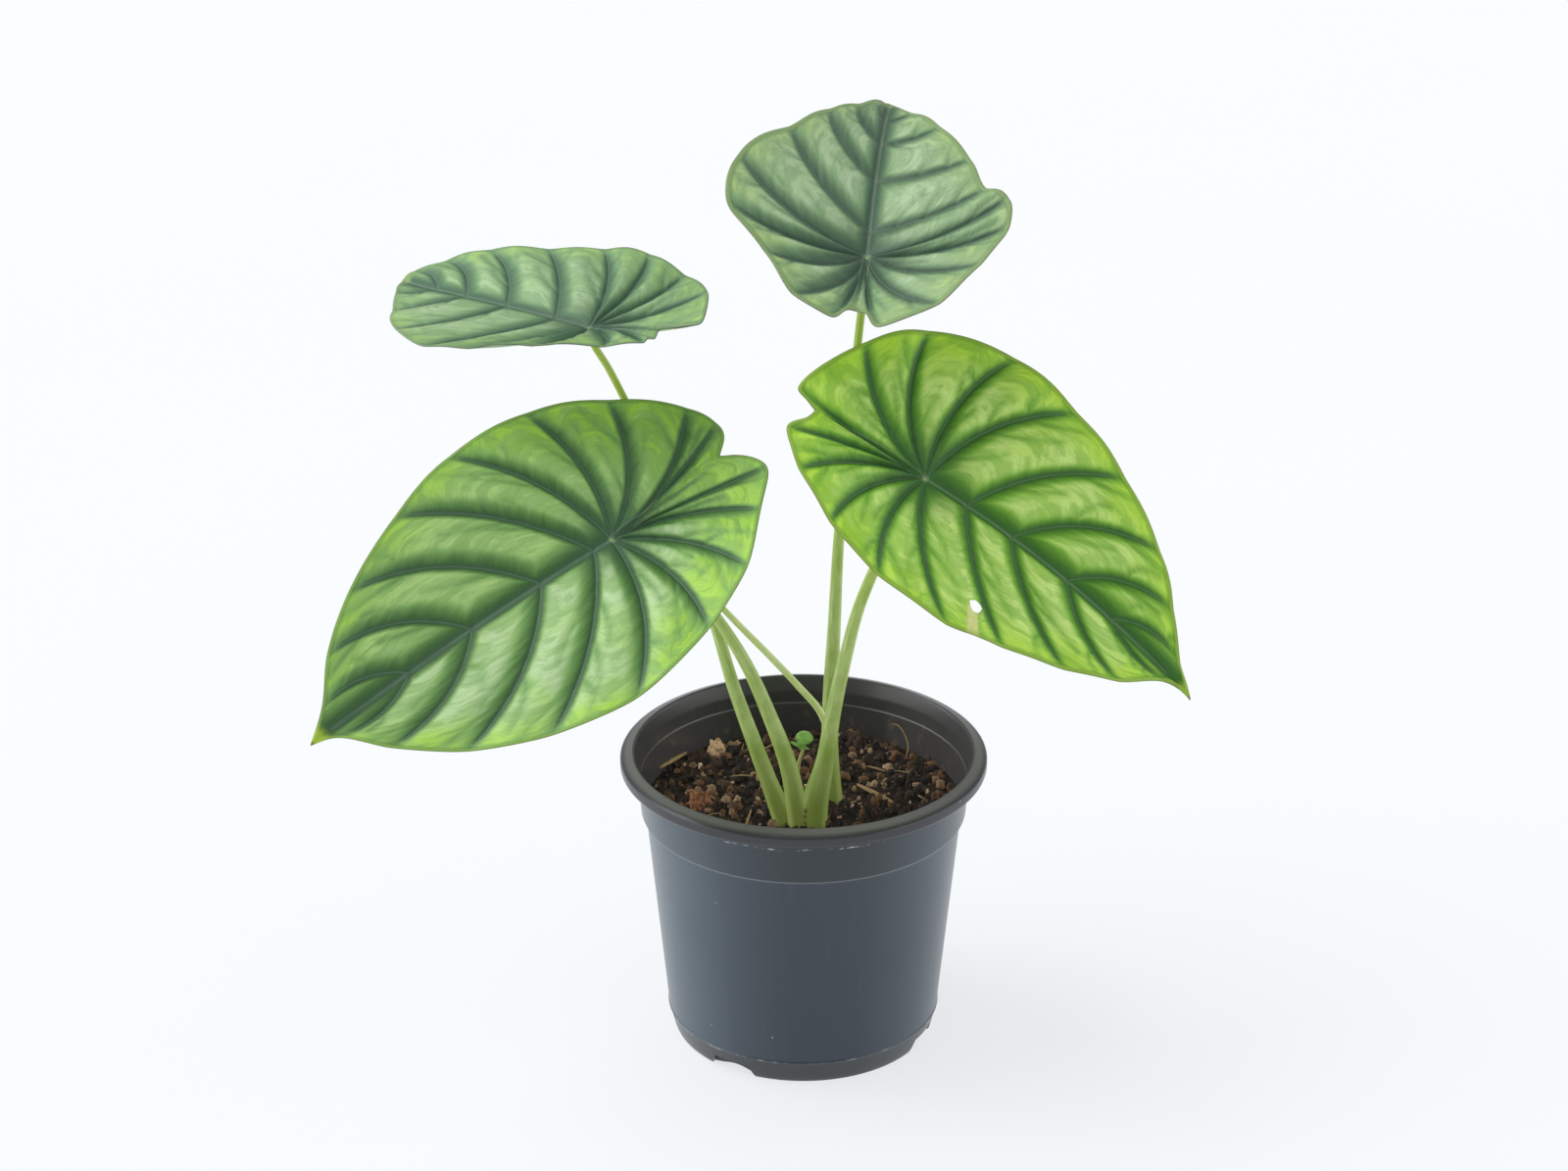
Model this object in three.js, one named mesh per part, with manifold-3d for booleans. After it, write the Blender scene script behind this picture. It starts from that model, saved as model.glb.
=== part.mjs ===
// Potted green shield alocasia: a young aroid with four shield-shaped leaves in a plain nursery pot.
// Millimetres, +Z up. The origin is on the ground under the middle of the pot, and the front is -Y.
import * as THREE from "three";
import Module from "manifold-3d";
import { mergeVertices } from "three/addons/utils/BufferGeometryUtils.js";

const wasm = await Module();
wasm.setup();

// Driving dimensions
const CLEARANCE = 0.3; // between pieces that touch each other
const POT = {
  rimRadius: 70,
  rimInnerRadius: 64.5,
  height: 117.4,
  rimSlope: 1.6, // how far the lip's outer edge lies below its inner edge
  rimBottom: 110.9,
  throatRadius: 62.6, // inside, just below the lip
  ledge: 106.2, // a small step inside the collar
  collarRadius: 62.2, // outside, at the bottom of the collar below the lip
  collarBottom: 92.7,
  wallRadius: 60.4, // outside, just below the collar
  heelRadius: 52.5, // outside, just above the heel ring
  heel: 9.6,
  footRadius: 49.8,
  floor: 1.6,
  discRadius: 26, // the middle of the floor, which touches the ground
  channelHeight: 3, // the raised ring of the floor that holds the drain holes
  sides: 48,
};
const BORE = { wallRadius: 50.2, wallDraft: 0.1, floorHeight: 4.6, collarRadius: 60.9, collarDraft: 0.088 };
const NOTCH = { angles: [-123, -24, 66, 156], width: 15, height: 5.2, flare: 3, depth: 12 }; // 0 is +X
const DRAIN = { count: 8, ringRadius: 37.5, radius: 3.6, sides: 14 };
const SOIL = { level: 94.3, relief: 1.5, mound: 1.2, moundSpread: 500, rings: 11, sides: 36, seed: 11 };
const CRUMBS = { count: 40, least: 1.6, spread: 1.7, sunk: 0.15, wallGap: 5 };
const CROWN = { x: 1.5, y: -11, width: 15, depth: 17, top: 87.7, height: 29, sides: 24 };
const SEEDLING = { x: -1.4, y: 25.7, lean: [2.3, -0.7, 15], stemRadius: 0.7, rootDepth: 5, room: 5 };

// Blades: the sunk veins divide each side, and the blade bulges between them
const BLADE = { thickness: 0.8, veinRib: 0.6, midrib: 0.8, crown: 2.2, columns: 4 };
const WAVE = { height: 0.9, perVein: 0.37 }; // of the rim
const BLADE_ROWS = [0, 0.16, 0.38, 0.62, 0.84, 1];
const VEIN_ARC = [0, 0.03, 0.1, 0.12, 0.11, 0.1, 0.08, 0.1, 0.12, 0.12, 0];
const BULGE = [0.45, 0.8, 1, 1, 1, 1, 0.9, 0.75, 0.5, 0.2];
const RADIAL_VEINS = 5; // veins on each side that start at the stalk; the others start along the midrib

// Each leaf: joint is where the stalk meets the blade. Heading, pitch and roll turn the blade, in degrees.
// Bends, sway and twist are degrees per 100 mm of midrib. Lift and arch shape the left and right halves.
// midrib lists the vein roots ahead of the stalk and then the tip; sinus is the notch behind it, as
// [ahead, across]. left and right give the rim as [angle from the midrib, reach from the stalk]: first the
// inner corner of the rear lobe, then the ends of the nine veins.
const LEAVES = {
  front_left: {
    joint: [-70, -34, 219.3],
    heading: -144,
    pitch: -16,
    roll: -33,
    bendAhead: 7,
    bendBehind: -18,
    lift: [0.24, 0.2],
    arch: [-0.5, 0.3],
    twist: -15,
    sway: 2,
    wavePhase: 0.1,
    midrib: [8, 32, 63, 91, 135],
    sinus: [-53, -4.3],
    left: [
      [179, 59.3], [169, 63.9], [152, 55.7], [123, 52.3], [91, 54.5], [59, 69], [37, 84.2],
      [21, 100.1], [9, 115.1], [1.5, 126.4],
    ],
    right: [
      [171, 59.9], [166, 61.9], [154, 61.4], [126, 55.1], [92, 56], [59, 65], [37, 79.1], [21, 98.6],
      [11, 113.7], [3.7, 124.3],
    ],
  },
  front_right: {
    joint: [43.7, -29, 241.2],
    heading: -11,
    pitch: -30,
    roll: 30,
    bendAhead: 11,
    bendBehind: -4,
    lift: [0.28, 0.14],
    arch: [-1.2, 0.4],
    twist: 5,
    sway: -7,
    wavePhase: 0.4,
    midrib: [18, 38, 64, 85, 128],
    sinus: [-47, -0.7],
    left: [
      [179, 51.3], [176, 56.6], [145, 53.9], [119, 54.2], [84, 55.8], [57, 60.2], [36, 72.9],
      [20, 89.1], [10, 102.4], [3.3, 116.4],
    ],
    right: [
      [173, 48.7], [165, 54.9], [144, 52], [118, 48.9], [88, 51.4], [58, 62], [38, 71], [22, 87.3],
      [11, 102.6], [1, 117.4],
    ],
  },
  back_left: {
    joint: [-79.2, 16, 282.6],
    heading: 142,
    pitch: 0,
    roll: -16,
    bendAhead: 21,
    bendBehind: -36,
    lift: [0.38, 0.1],
    arch: [-1.3, 3],
    twist: -10,
    sway: -16,
    wavePhase: 0.7,
    midrib: [17, 44, 70, 92, 123],
    sinus: [-29, -6.5],
    left: [
      [185, 31.5], [178, 33], [165, 39], [143, 29], [97.9, 34.5], [76.3, 48.9], [61.8, 58.6],
      [36, 67.7], [13.2, 90.9], [4.1, 110.8],
    ],
    right: [
      [168, 42], [167, 48.5], [135, 45.6], [108, 43.4], [82, 45], [55, 49.7], [31, 63], [16, 84.5],
      [7.5, 106.7], [2.5, 120],
    ],
  },
  back_right: {
    joint: [22.8, 15, 310.4],
    heading: 85,
    pitch: 23,
    roll: 4,
    bendAhead: 21,
    bendBehind: -36,
    lift: [0.32, 0.3],
    arch: [-0.9, -0.6],
    twist: 5,
    sway: -2,
    wavePhase: 0.2,
    midrib: [14, 46, 75, 98, 121],
    sinus: [-33.6, 2],
    left: [
      [172, 36.5], [167, 43.6], [145, 43.9], [114, 40.6], [84, 53], [60, 58.6], [31, 66.9], [14, 89],
      [6.2, 101.6], [1, 120],
    ],
    right: [
      [178, 35.5], [172, 46.5], [144, 47.6], [111.5, 45], [82.8, 51.2], [66, 54], [53.6, 50.8],
      [32, 64.3], [14, 86.6], [5.2, 106],
    ],
  },
};

// A torn hole in the front right blade, in blade coordinates: ahead of the stalk and across
const TEAR = [[35.7, -38], [36.9, -35.1], [39.4, -34.7], [42, -35.2], [41.2, -40.1], [37.8, -40.4]];
const TEAR_CUT = 12; // length of the cutter through the blade

// Stalks: the centre line from the crown up, radii at the foot and the top, and the open sheath at the foot
const NECK = 5; // the last stretch stands square to the blade
const STALKS = {
  front_right: {
    leaf: "front_right",
    route: [
      [4.6, -20.5, 88], [4.9, -20.5, 96], [5.8, -20.8, 107.7], [7.6, -21.2, 119.5],
      [10.8, -22.5, 143.2], [15.2, -23.5, 166.5], [20.6, -24, 189.1], [32, -23.4, 217],
    ],
    foot: 4.3,
    top: 1.9,
    sheath: { height: 42, flare: 3.6, towards: 180 },
  },
  front_left: {
    leaf: "front_left",
    route: [
      [-1.8, -20.5, 88], [-2.1, -20.5, 96], [-5.5, -20.3, 119], [-13.2, -20, 142], [-23.1, -20, 165.6],
      [-38.2, -19.6, 189], [-57, -22, 207.5],
    ],
    foot: 4.3,
    top: 1.7,
    sheath: { height: 24, flare: 1.8, towards: 0 },
  },
  back_left: {
    leaf: "back_left",
    route: [
      [-7.2, -18.5, 88], [-7.9, -18.5, 95], [-11.2, -18.5, 106.5], [-18.9, -17.5, 129.4],
      [-26.4, -15, 151.1], [-32.4, -10.5, 171.7], [-43.9, 0, 206.6], [-56.6, 9, 234.4],
      [-72, 17.5, 265],
    ],
    foot: 3.8,
    top: 1.3,
    sheath: { height: 28, flare: 2.4, towards: 0 },
  },
  back_right: {
    leaf: "back_right",
    route: [
      [10.9, -1, 88], [10.7, -1, 97], [10.1, -1, 109.4], [9.9, -1, 121], [10.2, -1, 144.3],
      [11.3, -0.5, 167], [12.7, 1.5, 200], [14.4, 4, 222.7], [16.6, 7, 245], [19.7, 12.5, 278.2],
    ],
    foot: 3.9,
    top: 1.5,
    sheath: { height: 32, flare: 0.6, towards: 0 },
  },
  thin: {
    leaf: null,
    route: [
      [6.6, -12.5, 88], [6.8, -12.5, 97], [7.9, -12.2, 108], [9.6, -12, 126.6], [6.5, -12, 138.2],
      [-2.1, -12.7, 149.9], [-11.9, -14, 162], [-22.1, -15, 173.8], [-37.2, -16, 191],
      [-44, -16.3, 197],
    ],
    foot: 1.9,
    top: 1.1,
    sheath: { height: 14, flare: 0.8, towards: 90 },
  },
};
const STALK_SIDES = 10;
const STALK_STEPS = 22;

// Helpers for solids
const RAD = Math.PI / 180;

// Repeatable random numbers from 0 to 1 (mulberry32).
function seededRandom(seed) {
  let state = seed;
  return () => {
    state = (state + 0x6d2b79f5) | 0;
    let t = Math.imul(state ^ (state >>> 15), 1 | state);
    t = (t + Math.imul(t ^ (t >>> 7), 61 | t)) ^ t;
    return ((t ^ (t >>> 14)) >>> 0) / 4294967296;
  };
}

// A closed three.js geometry as a solid: shared vertices merged, collapsed faces dropped, faces turned out.
function solidFrom(geometry) {
  const bare = geometry.clone();
  bare.deleteAttribute("normal");
  bare.deleteAttribute("uv");
  const merged = mergeVertices(bare, 1e-4);
  const faces = merged.index.array;
  const kept = [];
  for (let i = 0; i < faces.length; i += 3) {
    const [a, b, c] = [faces[i], faces[i + 1], faces[i + 2]];
    if (a !== b && b !== c && c !== a) kept.push(a, b, c);
  }
  const make = (triVerts) =>
    new wasm.Manifold(
      new wasm.Mesh({
        numProp: 3,
        vertProperties: new Float32Array(merged.attributes.position.array),
        triVerts: new Uint32Array(triVerts),
      }),
    );
  const made = make(kept);
  return made.volume() < 0 ? make(kept.reverse()) : made;
}

// Drops the scraps that a cut leaves loose.
function largestBody(solid) {
  return solid.decompose().reduce((best, body) => (body.volume() > best.volume() ? body : best));
}

function geometryFrom(solid) {
  const mesh = solid.getMesh();
  const positions = new Float32Array(mesh.numVert * 3);
  for (let i = 0; i < mesh.numVert; i++)
    positions.set(mesh.vertProperties.subarray(i * mesh.numProp, i * mesh.numProp + 3), i * 3);
  const geometry = new THREE.BufferGeometry();
  geometry.setAttribute("position", new THREE.BufferAttribute(positions, 3));
  geometry.setIndex(new THREE.BufferAttribute(new Uint32Array(mesh.triVerts), 1));
  geometry.computeVertexNormals();
  return geometry;
}

// A body of revolution round Z from [radius, height] points that start and end on the axis.
function revolve(profile, sides) {
  const points = profile.map(([radius, height]) => new THREE.Vector2(radius, height));
  return new THREE.LatheGeometry(points, sides).rotateX(Math.PI / 2);
}

const smooth = (x) => {
  const t = Math.min(1, Math.max(0, x));
  return t * t * (3 - 2 * t);
};

// Pot
function potInnerRadius(z) {
  if (z > POT.collarBottom) return BORE.collarRadius + (z - POT.collarBottom) * BORE.collarDraft;
  return BORE.wallRadius + (z - BORE.floorHeight) * BORE.wallDraft;
}

function potSolid() {
  const h = POT.height;
  const collar = POT.collarBottom;
  const outer = [
    [0, 0],
    [POT.discRadius, 0],
    [POT.discRadius + 4, POT.channelHeight],
    [POT.footRadius - 3.6, POT.channelHeight],
    [POT.footRadius - 2.4, 0],
    [POT.footRadius, 0],
    [POT.footRadius + 0.8, 1.8],
    [POT.footRadius + 1.6, 5],
    [POT.heelRadius - 0.2, POT.heel - 0.5],
    [POT.heelRadius + 0.4, POT.heel],
    [POT.heelRadius, POT.heel + 0.7],
    [POT.wallRadius, collar - 1.1],
    [POT.collarRadius, collar],
    [POT.collarRadius + 1.3, POT.rimBottom - 0.1],
    [POT.rimRadius - 1, POT.rimBottom],
    [POT.rimRadius, POT.rimBottom + 1],
    [POT.rimRadius, h - POT.rimSlope - 0.7],
    [POT.rimRadius - 0.7, h - POT.rimSlope],
  ];
  const inner = [
    [POT.rimInnerRadius + 0.6, h],
    [POT.rimInnerRadius, h - 0.6],
    [POT.throatRadius + 0.1, POT.rimBottom + 0.4],
    [POT.throatRadius - 0.15, POT.ledge + 0.5],
    [potInnerRadius(POT.ledge), POT.ledge],
    [potInnerRadius(collar + 0.2), collar + 0.2],
    [potInnerRadius(collar - 1), collar - 1],
    [potInnerRadius(6.4), 6.4],
    [POT.footRadius - 5.4, POT.channelHeight + POT.floor],
    [POT.discRadius + 4.6, POT.channelHeight + POT.floor],
    [POT.discRadius + 0.6, POT.floor],
    [0, POT.floor],
  ];
  let pot = solidFrom(revolve([...outer, ...inner], POT.sides));
  for (const angle of NOTCH.angles) {
    const shape = new THREE.Shape([
      new THREE.Vector2(-NOTCH.width / 2 - NOTCH.flare, -1),
      new THREE.Vector2(NOTCH.width / 2 + NOTCH.flare, -1),
      new THREE.Vector2(NOTCH.width / 2, NOTCH.height),
      new THREE.Vector2(-NOTCH.width / 2, NOTCH.height),
    ]);
    const cutter = new THREE.ExtrudeGeometry(shape, { depth: NOTCH.depth, bevelEnabled: false });
    cutter.translate(0, 0, POT.footRadius - 3);
    cutter.applyMatrix4(
      new THREE.Matrix4().makeBasis(
        new THREE.Vector3(-Math.sin(angle * RAD), Math.cos(angle * RAD), 0),
        new THREE.Vector3(0, 0, 1),
        new THREE.Vector3(Math.cos(angle * RAD), Math.sin(angle * RAD), 0),
      ),
    );
    pot = pot.subtract(solidFrom(cutter));
  }
  for (let i = 0; i < DRAIN.count; i++) {
    const angle = ((i + 0.5) * 2 * Math.PI) / DRAIN.count;
    const length = 2 * (POT.channelHeight + POT.floor);
    const drill = new THREE.CylinderGeometry(DRAIN.radius, DRAIN.radius, length, DRAIN.sides);
    drill.rotateX(Math.PI / 2);
    drill.translate(DRAIN.ringRadius, 0, POT.channelHeight);
    drill.rotateZ(angle);
    pot = pot.subtract(solidFrom(drill));
  }
  return pot;
}

// Blades
function turnOf(leaf) {
  return new THREE.Matrix4()
    .makeRotationZ(leaf.heading * RAD)
    .multiply(new THREE.Matrix4().makeRotationY(-leaf.pitch * RAD))
    .multiply(new THREE.Matrix4().makeRotationX(leaf.roll * RAD));
}

// The place of a point of the blade, from its way ahead along the midrib, across it and above it.
function placeOnBlade(leaf, turn, ahead, across, rise) {
  let along = ahead;
  let aside = across;
  if (ahead > 0) {
    const sway = (leaf.sway * RAD) / 100;
    along = Math.sin(sway * ahead) / sway - across * Math.sin(sway * ahead);
    aside = (1 - Math.cos(sway * ahead)) / sway + across * Math.cos(sway * ahead);
  }
  const half = across >= 0 ? 0 : 1;
  const height = leaf.lift[half] * Math.abs(across) - leaf.arch[half] * (across / 50) ** 2 + rise;
  const twist = (leaf.twist * RAD * along) / 100;
  const y = aside * Math.cos(twist) - height * Math.sin(twist);
  const h = aside * Math.sin(twist) + height * Math.cos(twist);
  const bend = ((along >= 0 ? leaf.bendAhead : leaf.bendBehind) * RAD) / 100;
  const turned = bend * along;
  const x = Math.sin(turned) / bend + h * Math.sin(turned);
  const z = -(1 - Math.cos(turned)) / bend + h * Math.cos(turned);
  return new THREE.Vector3(x, y, z).applyMatrix4(turn).add(new THREE.Vector3(...leaf.joint));
}

// The rim of one half, from the sinus to the tip, as a curve through the ends of the veins.
function rimCurve(leaf, side) {
  const ends = side > 0 ? leaf.left : leaf.right;
  const points = ends.map(
    ([angle, reach]) =>
      new THREE.Vector3(reach * Math.cos(angle * RAD), side * reach * Math.sin(angle * RAD), 0),
  );
  const tip = new THREE.Vector3(leaf.midrib[leaf.midrib.length - 1], 0, 0);
  return new THREE.CatmullRomCurve3([new THREE.Vector3(...leaf.sinus, 0), ...points, tip]);
}

function blend(list, at) {
  const low = Math.min(Math.floor(at), list.length - 2);
  return list[low] + (list[low + 1] - list[low]) * (at - low);
}

// A point of one half in the flat blade: vein counts the veins from the sinus, reach goes from root to rim.
function flatPoint(leaf, rim, side, vein, reach) {
  const root = vein <= RADIAL_VEINS ? 0 : blend([0, ...leaf.midrib], vein - RADIAL_VEINS);
  const knot = vein < 1 ? 2 * vein : vein + 1; // the first stretch of rim holds the lobe's corner too
  const end = rim.getPoint(knot / (leaf.left.length + 1));
  const chord = [end.x - root, end.y];
  const arc = blend(VEIN_ARC, vein) * 4 * reach * (1 - reach);
  return [root + chord[0] * reach - side * chord[1] * arc, chord[1] * reach + side * chord[0] * arc];
}

// The height of the bulges between the veins, and of the waved rim.
function bladeRise(leaf, vein, reach) {
  const last = leaf.left.length;
  const bulge = BULGE[Math.min(Math.floor(vein), BULGE.length - 1)];
  const between = Math.sin(Math.PI * vein) ** 2;
  const along = (1 - (1 - reach) ** 3) * (1 - 0.6 * reach ** 3);
  const ends = Math.min(1, vein, last - vein);
  const wave = Math.sin(2 * Math.PI * (WAVE.perVein * vein + leaf.wavePhase)) * reach ** 3 * ends;
  return BLADE.crown * bulge * between * along + WAVE.height * wave;
}

// The blade is thicker at the veins and along the midrib, on its lower face.
function bladeThickness(vein, reach) {
  const offVein = Math.abs(vein - Math.round(vein)) * BLADE.columns;
  const rib = vein > 0 && offVein < 0.5 ? BLADE.veinRib * (1 - reach) : 0;
  const last = VEIN_ARC.length - 1;
  const midrib = reach === 0 ? BLADE.midrib * Math.min(1, (last - vein) / 4) : 0;
  return BLADE.thickness + Math.max(rib, midrib);
}

function bladeSolid(leaf) {
  const turn = turnOf(leaf);
  const columns = leaf.left.length * BLADE.columns;
  const positions = [];
  const add = (...points) => points.forEach((p) => positions.push(p.x, p.y, p.z));
  for (const side of [1, -1]) {
    const rim = rimCurve(leaf, side);
    const grid = [];
    for (let i = 0; i <= columns; i++) {
      const vein = i / BLADE.columns;
      grid.push(
        BLADE_ROWS.map((reach) => {
          const [ahead, across] = flatPoint(leaf, rim, side, vein, reach);
          const rise = bladeRise(leaf, vein, reach);
          const radial = reach === 0 && vein <= RADIAL_VEINS ? RADIAL_VEINS : vein;
          const levels = [rise, rise - bladeThickness(radial, reach)];
          return levels.map((level) => placeOnBlade(leaf, turn, ahead, across, level));
        }),
      );
    }
    for (let i = 0; i < columns; i++) {
      for (let j = 0; j < BLADE_ROWS.length - 1; j++) {
        const [a, b, c, d] = [grid[i][j], grid[i + 1][j], grid[i + 1][j + 1], grid[i][j + 1]];
        if (side > 0) {
          add(a[0], b[0], c[0], a[0], c[0], d[0]);
          add(a[1], c[1], b[1], a[1], d[1], c[1]);
        } else {
          add(a[0], c[0], b[0], a[0], d[0], c[0]);
          add(a[1], b[1], c[1], a[1], c[1], d[1]);
        }
      }
      const [p, q] = [grid[i][BLADE_ROWS.length - 1], grid[i + 1][BLADE_ROWS.length - 1]];
      if (side > 0) add(p[0], q[0], q[1], p[0], q[1], p[1]);
      else add(p[0], q[1], q[0], p[0], p[1], q[1]);
    }
  }
  const geometry = new THREE.BufferGeometry();
  geometry.setAttribute("position", new THREE.Float32BufferAttribute(positions, 3));
  return solidFrom(geometry);
}

// A cutter for the torn hole, a prism through the blade.
function tearSolid(leaf) {
  const turn = turnOf(leaf);
  const middle = TEAR.reduce(([x, y], [u, v]) => [x + u / TEAR.length, y + v / TEAR.length], [0, 0]);
  const centre = placeOnBlade(leaf, turn, ...middle, 0);
  const ahead = placeOnBlade(leaf, turn, middle[0] + 1, middle[1], 0).sub(centre).normalize();
  const up = placeOnBlade(leaf, turn, ...middle, 1).sub(centre).normalize();
  const across = up.clone().cross(ahead);
  const outline = TEAR.map(([u, v]) => new THREE.Vector2(u - middle[0], v - middle[1]));
  const shape = new THREE.Shape(outline);
  const prism = new THREE.ExtrudeGeometry(shape, { depth: TEAR_CUT, bevelEnabled: false });
  prism.translate(0, 0, -TEAR_CUT / 2);
  prism.applyMatrix4(new THREE.Matrix4().makeBasis(ahead, across, up).setPosition(centre));
  return solidFrom(prism);
}

// Stalks
function stalkCurve(stalk) {
  const points = stalk.route.map((p) => new THREE.Vector3(...p));
  if (stalk.leaf) {
    const leaf = LEAVES[stalk.leaf];
    const down = new THREE.Vector3(0, 0, -1).transformDirection(turnOf(leaf));
    const joint = new THREE.Vector3(...leaf.joint);
    const seat = BLADE.thickness + BLADE.midrib + CLEARANCE;
    points.push(joint.clone().addScaledVector(down, seat + NECK));
    points.push(joint.clone().addScaledVector(down, seat));
  }
  return new THREE.CatmullRomCurve3(points);
}

// A stalk, or with a margin the space that its neighbours keep clear of it.
function stalkSolid(stalk, margin = 0) {
  const curve = stalkCurve(stalk);
  const length = curve.getLength();
  const tube = new THREE.CylinderGeometry(1, 1, 1, STALK_SIDES, STALK_STEPS);
  const position = tube.attributes.position;
  for (let i = 0; i < position.count; i++) {
    const t = position.getY(i) + 0.5;
    const spread = Math.hypot(position.getX(i), position.getZ(i));
    const angle = Math.atan2(position.getZ(i), position.getX(i));
    const tangent = curve.getTangentAt(t);
    const aside = new THREE.Vector3(1, 0, 0).projectOnPlane(tangent).normalize();
    const behind = aside.clone().cross(tangent);
    const open = smooth(1 - (t * length) / stalk.sheath.height);
    const facing = Math.max(0, Math.cos(angle + stalk.sheath.towards * RAD));
    const girth = stalk.top + (stalk.foot - stalk.top) * (1 - t) ** 2;
    const radius = (girth + stalk.sheath.flare * open * facing ** 2 + margin) * spread;
    const beyond = t === 0 ? -margin : t === 1 ? margin : 0;
    const point = curve.getPointAt(t).addScaledVector(tangent, beyond);
    point.addScaledVector(aside, radius * Math.cos(angle));
    point.addScaledVector(behind, radius * Math.sin(angle));
    position.setXYZ(i, point.x, point.y, point.z);
  }
  return solidFrom(tube);
}

// Crown: the short stem in the soil that carries the stalks
function crownSolid(margin = 0) {
  const { width, depth, top, height } = CROWN;
  const profile = [
    [0, -height],
    [0.42, -height * 0.93],
    [0.74, -height * 0.72],
    [0.95, -height * 0.42],
    [0.9, -height * 0.36],
    [1, -height * 0.2],
    [0.94, -height * 0.14],
    [0.97, 0],
    [0, 0],
  ];
  const body = revolve(profile, CROWN.sides);
  body.scale(width + margin, depth + margin, (height + 2 * margin) / height);
  body.translate(CROWN.x, CROWN.y, top + margin);
  return solidFrom(body);
}

// Soil
function soilRelief(x, y) {
  const waves =
    Math.sin(x * 0.21 + 1.3) * Math.cos(y * 0.17 - 0.6) +
    0.7 * Math.sin(x * 0.47 - y * 0.39 + 2.1) +
    0.5 * Math.cos(x * 0.83 + y * 0.71);
  const nearCrown = Math.exp(-((x - CROWN.x) ** 2 + (y - CROWN.y) ** 2) / SOIL.moundSpread);
  return (waves * SOIL.relief) / 2.2 + SOIL.mound * nearCrown;
}

function soilBody() {
  const edge = (z) => potInnerRadius(z) - CLEARANCE;
  const top = Array.from({ length: SOIL.rings + 1 }, (_, i) => [
    (edge(SOIL.level) * i) / SOIL.rings,
    SOIL.level,
  ]);
  const under = [
    [edge(POT.collarBottom), POT.collarBottom + 0.5],
    [edge(POT.collarBottom - 1.4), POT.collarBottom - 1.4],
    [edge(8), 8],
    [POT.footRadius - 5.8, POT.channelHeight + POT.floor + CLEARANCE],
    [POT.discRadius + 4.8, POT.channelHeight + POT.floor + CLEARANCE],
    [POT.discRadius, POT.floor + CLEARANCE],
    [0, POT.floor + CLEARANCE],
  ];
  const body = revolve([...top, ...under], SOIL.sides);
  const position = body.attributes.position;
  for (let i = 0; i < position.count; i++) {
    if (position.getZ(i) < SOIL.level - 0.01) continue;
    const [x, y] = [position.getX(i), position.getY(i)];
    const inside = smooth((edge(SOIL.level) - Math.hypot(x, y)) / 4);
    position.setZ(i, SOIL.level + soilRelief(x, y) * (0.3 + 0.7 * inside));
  }
  return solidFrom(body);
}

// The larger lumps: [x, y, radius, sunk share]
const LUMPS = [
  [-40.1, -2.4, 5.2, 0.25],
  [-34.4, 39.2, 4, 0.1],
  [-41.3, 34, 4.4, 0.3],
  [21.6, 50, 4.6, 0.3],
];

// An uneven lump; sunk is the share of its radius that it lies deeper in the soil.
function lumpSolid(x, y, radius, sunk, detail, random) {
  const lump = solidFrom(new THREE.IcosahedronGeometry(radius, detail)).getMesh();
  const geometry = new THREE.BufferGeometry();
  const points = new Float32Array(lump.vertProperties);
  for (let i = 0; i < points.length; i++) points[i] *= 0.78 + 0.4 * random();
  geometry.setAttribute("position", new THREE.BufferAttribute(points, 3));
  geometry.setIndex(new THREE.BufferAttribute(new Uint32Array(lump.triVerts), 1));
  geometry.rotateZ(random() * 6);
  geometry.translate(x, y, SOIL.level + soilRelief(x, y) + radius * (0.35 - sunk));
  return solidFrom(geometry);
}

function soilSolid(stalkSpaces) {
  const random = seededRandom(SOIL.seed);
  let soil = soilBody();
  for (const [x, y, radius, sunk] of LUMPS) soil = soil.add(lumpSolid(x, y, radius, sunk, 1, random));
  const reach = potInnerRadius(SOIL.level) - CRUMBS.wallGap;
  for (let i = 0; i < CRUMBS.count; i++) {
    const distance = reach * Math.sqrt(random());
    const angle = 2 * Math.PI * random();
    const radius = CRUMBS.least + CRUMBS.spread * random() ** 2;
    const [x, y] = [distance * Math.cos(angle), distance * Math.sin(angle)];
    const onCrown = Math.hypot(x - CROWN.x, y - CROWN.y) < CROWN.depth;
    const onSeedling = Math.hypot(x - SEEDLING.x, y - SEEDLING.y) < SEEDLING.room;
    if (!onCrown && !onSeedling) soil = soil.add(lumpSolid(x, y, radius, CRUMBS.sunk, 0, random));
  }
  for (const space of stalkSpaces) soil = soil.subtract(space);
  return largestBody(soil.subtract(crownSolid(CLEARANCE)).subtract(seedlingSolid(CLEARANCE)));
}

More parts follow.
